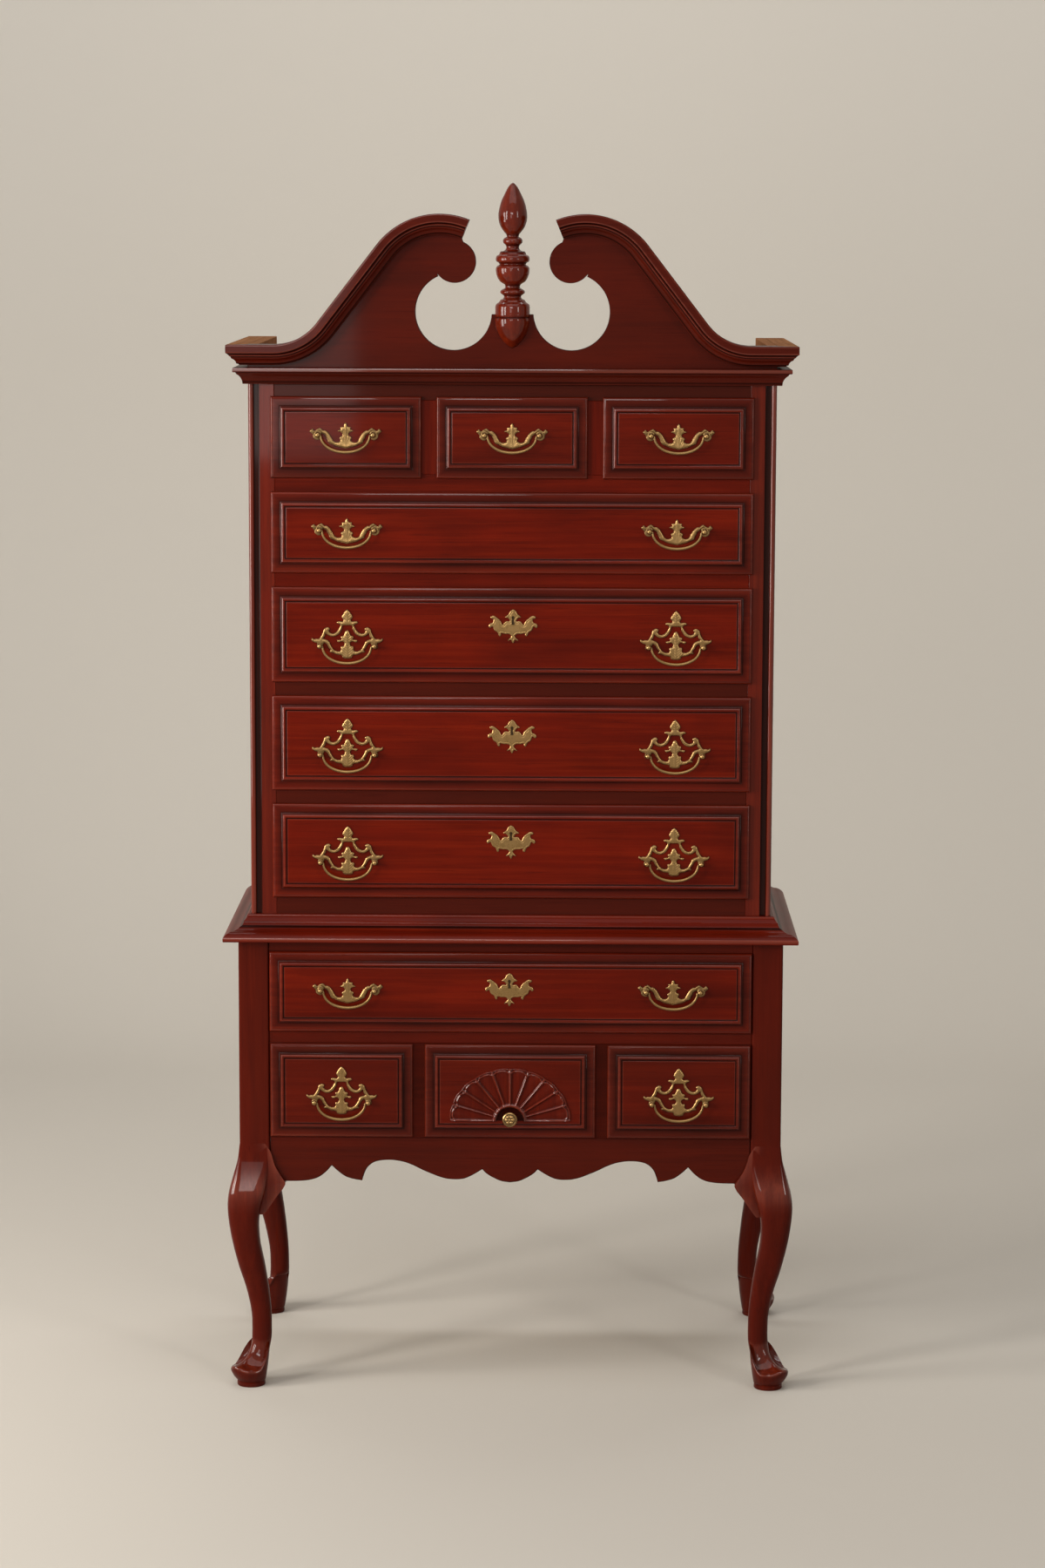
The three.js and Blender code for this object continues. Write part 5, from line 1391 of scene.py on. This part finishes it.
# %% Knob of the fan
low, high = box("row7_fan_knob")
knob_line = flowing([(7.8, 0), (7.8, 1.6), (5.6, 3.6), (5.0, 7.6), (7.4, 10.6), (11.2, 13.4), (12.5, 15.2),
                     (12.0, 17.2), (10.4, 18.6)], 5)
KNOB_FACE, KNOB_SIDES = 19.0, 72
face_r = np.linspace(10.0, 0.3, 22)
knob_line = np.vstack([knob_line, np.stack([face_r, np.full(22, KNOB_FACE)], -1)])
spun = turned(knob_line, KNOB_SIDES)
turn = once_round(KNOB_SIDES)
radius = np.repeat(knob_line[:, :1], KNOB_SIDES, axis=1)
on_face = (radius < 10.2) & (spun[..., 2] > KNOB_FACE - 0.5)
flower = 1.3 * np.abs(np.cos(3 * turn)) ** 0.7 * ridge(radius - 5.2, 2.3) + 1.1 * ridge(radius, 1.6)
flower -= 0.7 * ridge(radius - 8.7, 0.8)
spun[..., 2] += on_face * flower
points, faces = skin(spun)
points = hung(points, (low[0] + high[0]) / 2, high[1], (low[2] + high[2]) / 2)
make("row7_knob", (points, faces), BRASS, home["row7_fan_knob"], ["row7_fan_knob"], smooth=50,
     patina=on_face * np.clip(1.0 - flower * 1.4, 0, 0.9))
print("knob reaches", round(high[1] - points[:, 1].min(), 1), "mm out")

# %% [markdown]
# ## Escutcheons
#
# Four of the wide drawers have a keyhole plate on their middle, in the same style. They are thin,
# so they live in this file only. The keyhole is a deep hollow in the casting, with painted shade
# on its floor that stands for the dark of the hole.

# %% Keyhole plates
escutcheon_half = [
    (0, 27.2), (3.9, 25.1), (7.1, 19.9), (12.8, 14.6), (8.4, 13.8), (4.7, 8.1), (11.6, 8.1), (16.1, 2.8), (17.7, 2.8),
    (20.1, 8.1), (26.2, 13.8), (31.9, 17), (36.3, 15.4), (35.9, 13), (31.9, 11.8), (33.1, 5.7), (37.6, 4.1),
    (39.6, 0), (37.5, -2.4), (33.5, 0), (30.2, -6.5), (25.4, -9.7), (22.1, -16.2), (19.7, -14.6), (19.7, -11.4),
    (13.2, -12.2), (5.9, -12.6), (2.7, -16.2), (8.4, -23.5), (3.5, -21.9), (0, -27.6)]


def keyhole(points):
    """Distance outside a round hole with a slot that widens downward; negative inside it."""
    x, z = np.abs(points[:, 0]), points[:, 1]
    slot = np.maximum(x - np.interp(z, [3, 14], [1.9, 0.9]), np.maximum(3 - z, z - 14))
    return np.minimum(np.hypot(x, z - 14.4) - 1.9, slot)


def escutcheon_height(points, distance):
    """Pillowed plate with an engraved line inside its edge and a keyhole sunk in it."""
    out = 0.8 + 0.8 * smooth_step(distance, 0, 1.1) - 0.25 * ridge(distance - 3.0, 0.6)
    return np.where(keyhole(points) < 0, 0.15, out)


points, faces, distance = plate([drawn(escutcheon_half, 0.8)], 0.8, escutcheon_height)
# painted shade on the keyhole's floor for the dark of the hole, and round the plate's edge
patina = np.where(keyhole(points[:, :2]) < 0.35, 1.4, np.clip(1 - distance / 0.7, 0, 1) * 0.5)
KEYHOLES = {"row3": (2.5, 1275.5), "row4": (1.3, 1095.0), "row5": (0.1, 920.9), "row6": (-1.6, 678.4)}
for row, (across, up) in KEYHOLES.items():
    make(row + "_escutcheon", (hung(points, across, field_y[row] - 0.1, up), faces), BRASS, row, smooth=50,
         patina=patina)
print("escutcheons:", len(KEYHOLES), "of", len(points), "points")

# %% [markdown]
# ## A plain studio
#
# The room of the picture is left out. The piece stands on a pale sweep of paper that curves up
# behind it. Far from the piece the paper turns into a plain glow of the same pale colour, so that
# no edge of it shows, and seen from behind it is clear. The world has that colour too. Camera and
# reflected rays see it at full strength, but it lights the piece only a little. Large soft lamps
# do the lighting: two windows and a strip at the sides, whose beams are narrowed so that they
# leave no bright patch on the floor, two near the camera that draw the sheen on the mouldings
# and the knees, one overhead, and one for the paper.

# %% Floor and backdrop
SURROUND = (0.60, 0.55, 0.48, 1)


def sweep():
    """Floor, quarter round and wall as one sheet: a profile (y, z) carried along x, in metres."""
    curve = [2.2, 1.6] + 1.6 * ways(np.radians(np.linspace(-90, 0, 17)))
    line = np.vstack([[(-14, 0)], curve, [(3.8, 9)]])
    x, number = np.linspace(-9, 9, 7)[:, None], np.arange(7 * len(line)).reshape(7, -1)
    points = np.stack([x + 0 * line[:, 0], 0 * x + line[:, 0], 0 * x + line[:, 1]], -1)
    quads = np.stack([number[:-1, :-1], number[1:, :-1], number[1:, 1:], number[:-1, 1:]], -1).reshape(-1, 4)
    return points.reshape(-1, 3), quads


def seen_rays(tree):
    """1 for the rays of the camera, of reflections and of glass, and 0 for the rays that light things."""
    ray = tree.nodes.new("ShaderNodeLightPath").outputs
    return (Value(ray["Is Camera Ray"]) + Value(ray["Is Glossy Ray"]) + Value(ray["Is Transmission Ray"])).clipped()


def paper_finish():
    """Paper that fades to a glow: the share is an S curve of the distance, measured narrower across."""
    paper = Finish("paper", Base_Color=(0.62, 0.58, 0.52, 1), Roughness=0.9, Specular_IOR_Level=0.0)
    around = paper.vectors("MULTIPLY_ADD", paper.object_place(), (1.7, 1, 1), (0, -1.2, 0))
    far = paper.vectors("LENGTH", around, output="Value").spread(2.9, 6.0)
    far = far * far * (3 - far * 2) * seen_rays(paper.tree)
    glow = paper.node("Emission", Color=SURROUND)
    lit = paper.node("MixShader", far, Value(paper.shader.outputs[0]), glow)
    behind = paper.node("NewGeometry", output="Backfacing")
    whole = paper.node("MixShader", behind, lit, paper.node("BsdfTransparent"))
    paper.feed(paper.tree.nodes["Material Output"].inputs["Surface"], whole)
    return paper.material


points, quads = sweep()
mesh = bpy.data.meshes.new("paper_sweep")
mesh.from_pydata(points.tolist(), [], quads.tolist())
mesh.shade_smooth()
mesh.materials.append(paper_finish())
paper = bpy.data.objects.new("paper_sweep", mesh)
bpy.context.scene.collection.objects.link(paper)
print("paper:", len(quads), "faces")

# %% Lamps and world
def lamp(name, place, target, size, watts, colour=(1, 1, 1), beam=180):
    """A rectangular area lamp aimed at a point, with a beam of so many degrees."""
    data = bpy.data.lights.new(name, "AREA")
    data.shape, data.size, data.size_y = "RECTANGLE", size[0], size[1]
    data.energy, data.color, data.spread = watts, colour, math.radians(beam)
    light = bpy.data.objects.new(name, data)
    light.location = place
    light.rotation_euler = (Vector(target) - Vector(place)).to_track_quat("-Z", "Y").to_euler()
    light.visible_camera = False
    bpy.context.scene.collection.objects.link(light)


WINDOW_LIGHT, NARROW_BEAM = (1, 0.96, 0.90), 140
lamp("window_left", (-3.6, -3.2, 2.0), (0, 0, 1.0), (0.8, 2.5), 67, WINDOW_LIGHT, NARROW_BEAM)
lamp("strip_left", (-3.3, -1.3, 1.55), (0, -0.2, 1.1), (1.0, 2.1), 53, WINDOW_LIGHT, NARROW_BEAM)
lamp("window_right", (3.4, -4.4, 2.4), (0, 0, 1.0), (0.7, 2.0), 24, (1, 0.97, 0.92), NARROW_BEAM)
lamp("above_camera", (-0.6, -4.8, 2.75), (0, 0, 0.9), (1.5, 0.6), 30)
lamp("beside_camera", (-0.95, -4.8, 1.75), (-0.3, 0, 0.9), (0.9, 1.0), 10, (1, 0.97, 0.93))
lamp("ceiling", (0, -1.6, 4.6), (0, 0.3, 0.9), (3.6, 3.0), 48)
lamp("on_the_paper", (0, 1.3, 4.6), (0, 3.6, 1.0), (4.0, 0.8), 62)
world = bpy.data.worlds.new("studio")
world.use_nodes = True
background = world.node_tree.nodes["Background"]
background.inputs["Color"].default_value = SURROUND
strength = seen_rays(world.node_tree) * 0.77 + 0.23
world.node_tree.links.new(strength.socket, background.inputs["Strength"])
bpy.context.scene.world = world
print("lamps:", len(bpy.data.lights))
